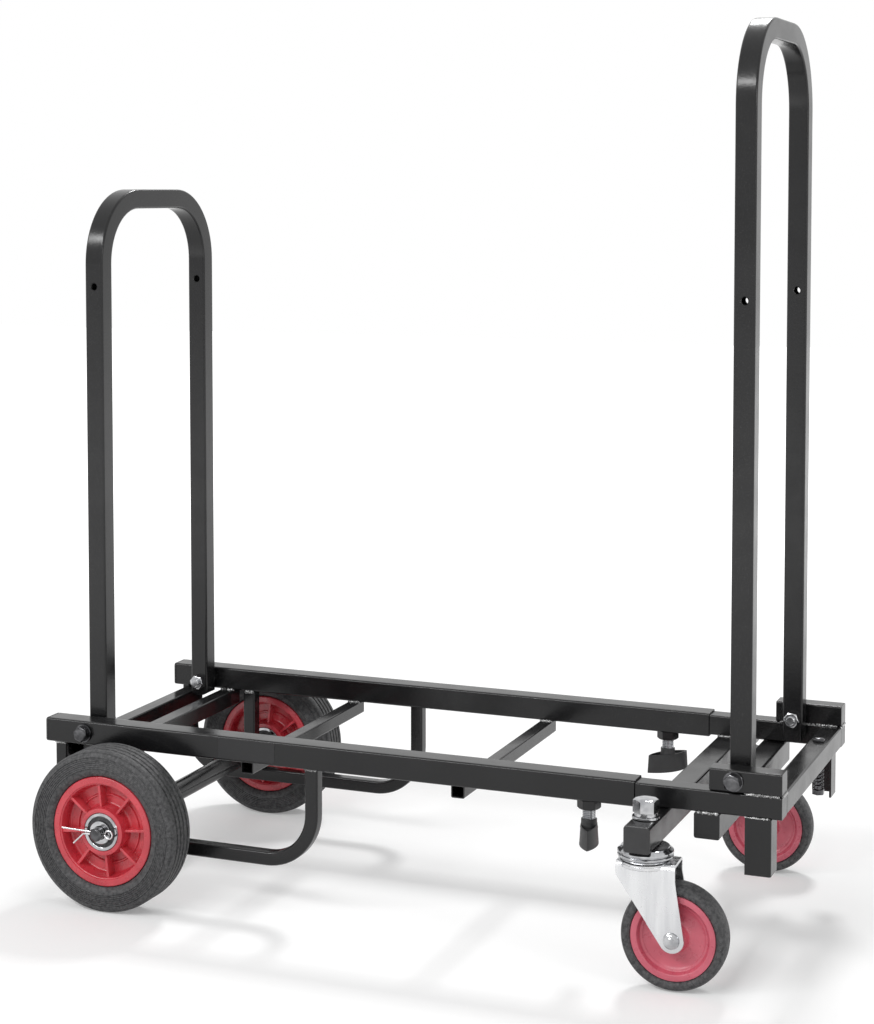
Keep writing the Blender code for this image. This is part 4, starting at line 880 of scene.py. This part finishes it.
def makeFork(top):
    half = caster["gap"] / 2 + caster["sheet"] - caster["creaseStep"]
    piece = drawLine([(x, -half, z) for x, z in forkOutline(top)], True)
    startEdit(piece)
    bpy.ops.mesh.edge_face_add()
    extrude((0, 2 * half, 0))
    closeUp()
    roundPicked(piece, lambda edge: runsAlong(edge, 0) and edge.verts[0].co.z > top - tiny, caster["fold"], 6)
    startEdit(piece)
    bpy.ops.mesh.bisect(plane_co=(caster["crease"], 0, 0), plane_no=(1, 0, 0))
    for out in sides.values():
        # the front half of each cheek stands a little proud, which draws the crease
        pick("faces", lambda face: face.normal.y * out > 0.99 and face.calc_center_median().x > caster["crease"])
        extrude((0, out * caster["creaseStep"], 0))
    endEdit()
    inside = block((-0.05, -caster["gap"] / 2, -0.01), (0.06, caster["gap"] / 2, top - caster["sheet"]))
    roundPicked(inside, lambda edge: runsAlong(edge, 0) and edge.verts[0].co.z > 0, caster["innerFold"])
    combine(piece, inside)
    roundEdges(piece, caster["edge"], 2, 40)
    return join([piece] + [turnedPiece([(radius, top - depth) for radius, depth in dish])
                           for dish in forkDishes])


for side in sides:
    body, wheelBody = "caster_" + side, "caster_wheel_" + side
    turn = math.radians(caster["turn"])
    stem = middleOf("caster_race_" + side)
    stem.z = 0
    raceLow, raceHigh = boxOf("caster_race_" + side)
    fork = put(makeFork(raceLow.z - seat), stem, "up", caster["turn"])
    finishPiece(fork, "casterFork_" + side, "zinc", body, ["caster_fork_" + side], 30)
    rise, bore = raceHigh.z - raceLow.z, casterBolt["raceBore"]
    rings = [(radius, raceLow.z + rise * share) for share, radius in race]
    rings = turnedPiece([(bore, raceHigh.z)] + rings + [(bore, raceLow.z)], 96)
    finishPiece(put(rings, stem), "casterRace_" + side, "bolts", "front_frame", ["caster_race_" + side], 25)

    # bolt through the crossbar with plain washer, split spring washer, hexagon head and nut below
    low, high = boxOf("caster_bolt_" + side)
    radius, apart = casterBolt["radius"], casterBolt["lockGap"]
    washerFrom = boxOf("caster_crossbar")[1].z + seat
    washerTop = washerFrom + casterBolt["washerThick"]
    lockTop = washerTop + casterBolt["lockThick"]
    lock = washer(radius, casterBolt["lock"], washerTop + apart, lockTop - apart)
    slit = block((0.004, -0.0005, washerTop - 0.001), (0.012, 0.0005, lockTop + 0.001))
    combine(lock, put(slit, Vector(), "up", casterBolt["slitTurn"]))
    rod = shank(radius, casterBolt["pointed"], low.z, lockTop + casterBolt["intoHead"], 40)
    head = put(hexHead(*casterBolt["head"]), zAxis * lockTop, "up", casterBolt["headTurn"])
    nut = put(hexHead(*casterBolt["nut"]), zAxis * (low.z + casterBolt["nutUp"]), "down", casterBolt["nutTurn"])
    bolt = join([washer(radius, casterBolt["washer"], washerFrom, washerTop, 0.0003), lock, head, rod, nut])
    finishPiece(put(bolt, stem), "casterBolt_" + side, "bolts", "front_frame", ["caster_bolt_" + side], 25)

    # on the wheel's axis: bolt with low riveted heads, tyre and hub
    cheek = caster["gap"] / 2 + caster["sheet"]
    rivet = evenPiece([(radius, cheek + height) for radius, height in rivetHead], 48)
    tyre = evenPiece(casterTyre, 112, middle=[(caster["radius"], 0.0)])
    wheelPlace = stem + Matrix.Rotation(turn, 3, "Z") @ Vector((caster["trail"], 0, caster["radius"]))
    for piece, name, node, look, rides, smooth in (
            (rivet, "casterAxle_", "caster_axle_", "bolts", body, 30),
            (tyre, "casterTyre_", "caster_tyre_", "rubber", wheelBody, 38),
            (evenPiece(casterHub, 96), "casterHub_", "caster_hub_", "casterRed", wheelBody, 38)):
        piece.matrix_world = Matrix.Translation(wheelPlace) @ Matrix.Rotation(turn, 4, "Z") @ turns["left"]
        finishPiece(piece, name + side, look, rides, [node + side], smooth)
print("casters ready")


# weld beads where tubes meet

postDepth, tubeDepth, plateDepth = 0.0006, 0.0004, 0.0003       # how far below the rail the beads lie
beadRadius = {"crossbarWeldInner_": 0.0014, "crossbarWeldOuter_": 0.0018, "frontCrossWeld_": 0.0015,
              "standWeld_": 0.0014, "blockWeldInner_": 0.0014, "blockWeldOuter_": 0.0013, "blockWeldEnd_": 0.0013,
              "endWeld_": 0.0013}


def weldOver(name, start, end, y, z, trim=0.0):
    # a bead along X; the front frame's ones have radii of their own
    radius = beadRadius.get(name)
    weldBead(name + side, (start + trim, y, z), (end - trim, y, z), "front_frame" if radius else "rear_frame", radius)


for side, out in sides.items():
    inner = facesOf("outer_rail_" + side, out)[1]
    under = boxOf("outer_rail_" + side)[0].z
    low, high = boxOf("hoop_" + side)
    size, face = high.y - low.y, facesOf("hoop_" + side, out)[0]
    for place, x in (("Rear", low.x), ("Front", high.x - size)):
        weldOver("hoopWeld" + place + "_", x, x + size, face + out * 0.0002, under - postDepth, 0.0005)
    for place in ("second", "third", "fourth"):
        low, high = boxOf("cross_tube_" + place)
        weldOver("crossWeld_" + place + "_", low.x, high.x, inner, under - tubeDepth)
    low, high = boxOf("axle_post_" + side)
    weldOver("postWeld_", low.x, high.x, facesOf("axle_post_" + side, out)[1], under - postDepth, 0.0005)

    outer, inner = facesOf("inner_rail_" + side, out)
    under = boxOf("inner_rail_" + side)[0].z
    low, high = boxOf("caster_crossbar")
    weldOver("crossbarWeldInner_", low.x, high.x, inner, under - tubeDepth)
    weldOver("crossbarWeldOuter_", low.x + 0.001, low.x + 0.006, outer, under - tubeDepth)
    for name, node in (("frontCrossWeld_", "front_cross_tube"), ("standWeld_", "stand_leg_" + side)):
        low, high = boxOf(node)
        weldOver(name, low.x, high.x, outer, under - plateDepth, 0.001)
    low, high = boxOf("pivot_block_" + side)
    weldOver("blockWeldInner_", low.x, high.x, inner, low.z, 0.004)
    weldOver("blockWeldOuter_", low.x + 0.030, high.x - 0.002, outer, low.z)
    weldBead("blockWeldEnd_" + side, (high.x, outer - out * 0.001, low.z), (high.x, inner, low.z), "front_frame",
             beadRadius["blockWeldEnd_"])
    low, high = boxOf("end_tube")
    weldBead("endWeld_" + side, (low.x, inner, low.z + 0.002), (low.x, inner, high.z - 0.002), "front_frame",
             beadRadius["endWeld_"])
print("weld beads ready")


# pale floor, white surroundings and soft lamps

studio = {"floorTone": (0.80, 0.80, 0.80, 1), "floorGlow": 0.22, "floorSize": 14, "floorDown": 0.0002,
          "worldLight": 0.50, "whiteFrom": 0.9, "whiteTo": 2.6, "lampsAim": (0, 0, 0.3),
          "lamps": {"key": ((-1.0, -2.5, 2.3), 3.0, 0.40, 58), "side": ((2.7, -1.2, 1.2), 0.7, 0.7, 10),
                    "back": ((-0.1, 1.9, 2.4), 0.5, 0.5, 36)}}
bpy.ops.object.select_all(action="DESELECT")
bpy.ops.mesh.primitive_plane_add(size=studio["floorSize"], location=(0, 0, -studio["floorDown"]))
floor = bpy.context.object
floor.name = "floor"


def lookedAt(tree):
    # one where the camera looks, straight or by way of a gloss or a clear piece, and zero for stray light
    path = tree.nodes.new("ShaderNodeLightPath")
    total = path.outputs["Is Camera Ray"]
    for name in ("Is Glossy Ray", "Is Transmission Ray"):
        larger = tree.nodes.new("ShaderNodeMath")
        larger.operation = "MAXIMUM"
        tree.links.new(total, larger.inputs[0])
        tree.links.new(path.outputs[name], larger.inputs[1])
        total = larger.outputs[0]
    return total


floorLook = bpy.data.materials.new("paleFloor")
floorLook.use_nodes = True
tree = floorLook.node_tree
link = tree.links.new
tree.nodes.remove(tree.nodes["Principled BSDF"])
matt = tree.nodes.new("ShaderNodeBsdfDiffuse")
matt.inputs["Color"].default_value = studio["floorTone"]
glow = tree.nodes.new("ShaderNodeEmission")
strength = tree.nodes.new("ShaderNodeMath")
strength.operation = "MULTIPLY"
away = tree.nodes.new("ShaderNodeVectorMath")      # plain white away from the trolley, so no far edge shows
away.operation = "LENGTH"
whiter = tree.nodes.new("ShaderNodeMapRange")
for setting, value in (("From Min", "whiteFrom"), ("From Max", "whiteTo"), ("To Min", "floorGlow")):
    whiter.inputs[setting].default_value = studio[value]
link(tree.nodes.new("ShaderNodeTexCoord").outputs["Object"], away.inputs[0])
link(away.outputs["Value"], whiter.inputs["Value"])
link(whiter.outputs["Result"], strength.inputs[1])
link(lookedAt(tree), strength.inputs[0])
link(strength.outputs[0], glow.inputs["Strength"])
both = tree.nodes.new("ShaderNodeAddShader")
link(matt.outputs[0], both.inputs[0])
link(glow.outputs[0], both.inputs[1])
link(both.outputs[0], tree.nodes["Material Output"].inputs["Surface"])
floor.data.materials.append(floorLook)

world = bpy.data.worlds.new("whiteRoom")
bpy.context.scene.world = world
world.use_nodes = True
tree = world.node_tree
link = tree.links.new
background = tree.nodes["Background"]
background.inputs["Color"].default_value = (1, 1, 1, 1)
spread = tree.nodes.new("ShaderNodeMapRange")
spread.inputs["To Min"].default_value = studio["worldLight"]
spread.inputs["To Max"].default_value = 1.0
link(lookedAt(tree), spread.inputs["Value"])
link(spread.outputs["Result"], background.inputs["Strength"])

for name, (place, long, wide, power) in studio["lamps"].items():
    bpy.ops.object.light_add(type="AREA", location=place)
    lamp = bpy.context.object
    lamp.name = name + "Lamp"
    lamp.data.shape = "RECTANGLE"
    lamp.data.size = long
    lamp.data.size_y = wide
    lamp.data.energy = power
    lamp.rotation_mode = "QUATERNION"
    lamp.rotation_quaternion = (Vector(place) - Vector(studio["lampsAim"])).to_track_quat("Z", "Y")

bpy.context.scene.view_settings.view_transform = "Standard"
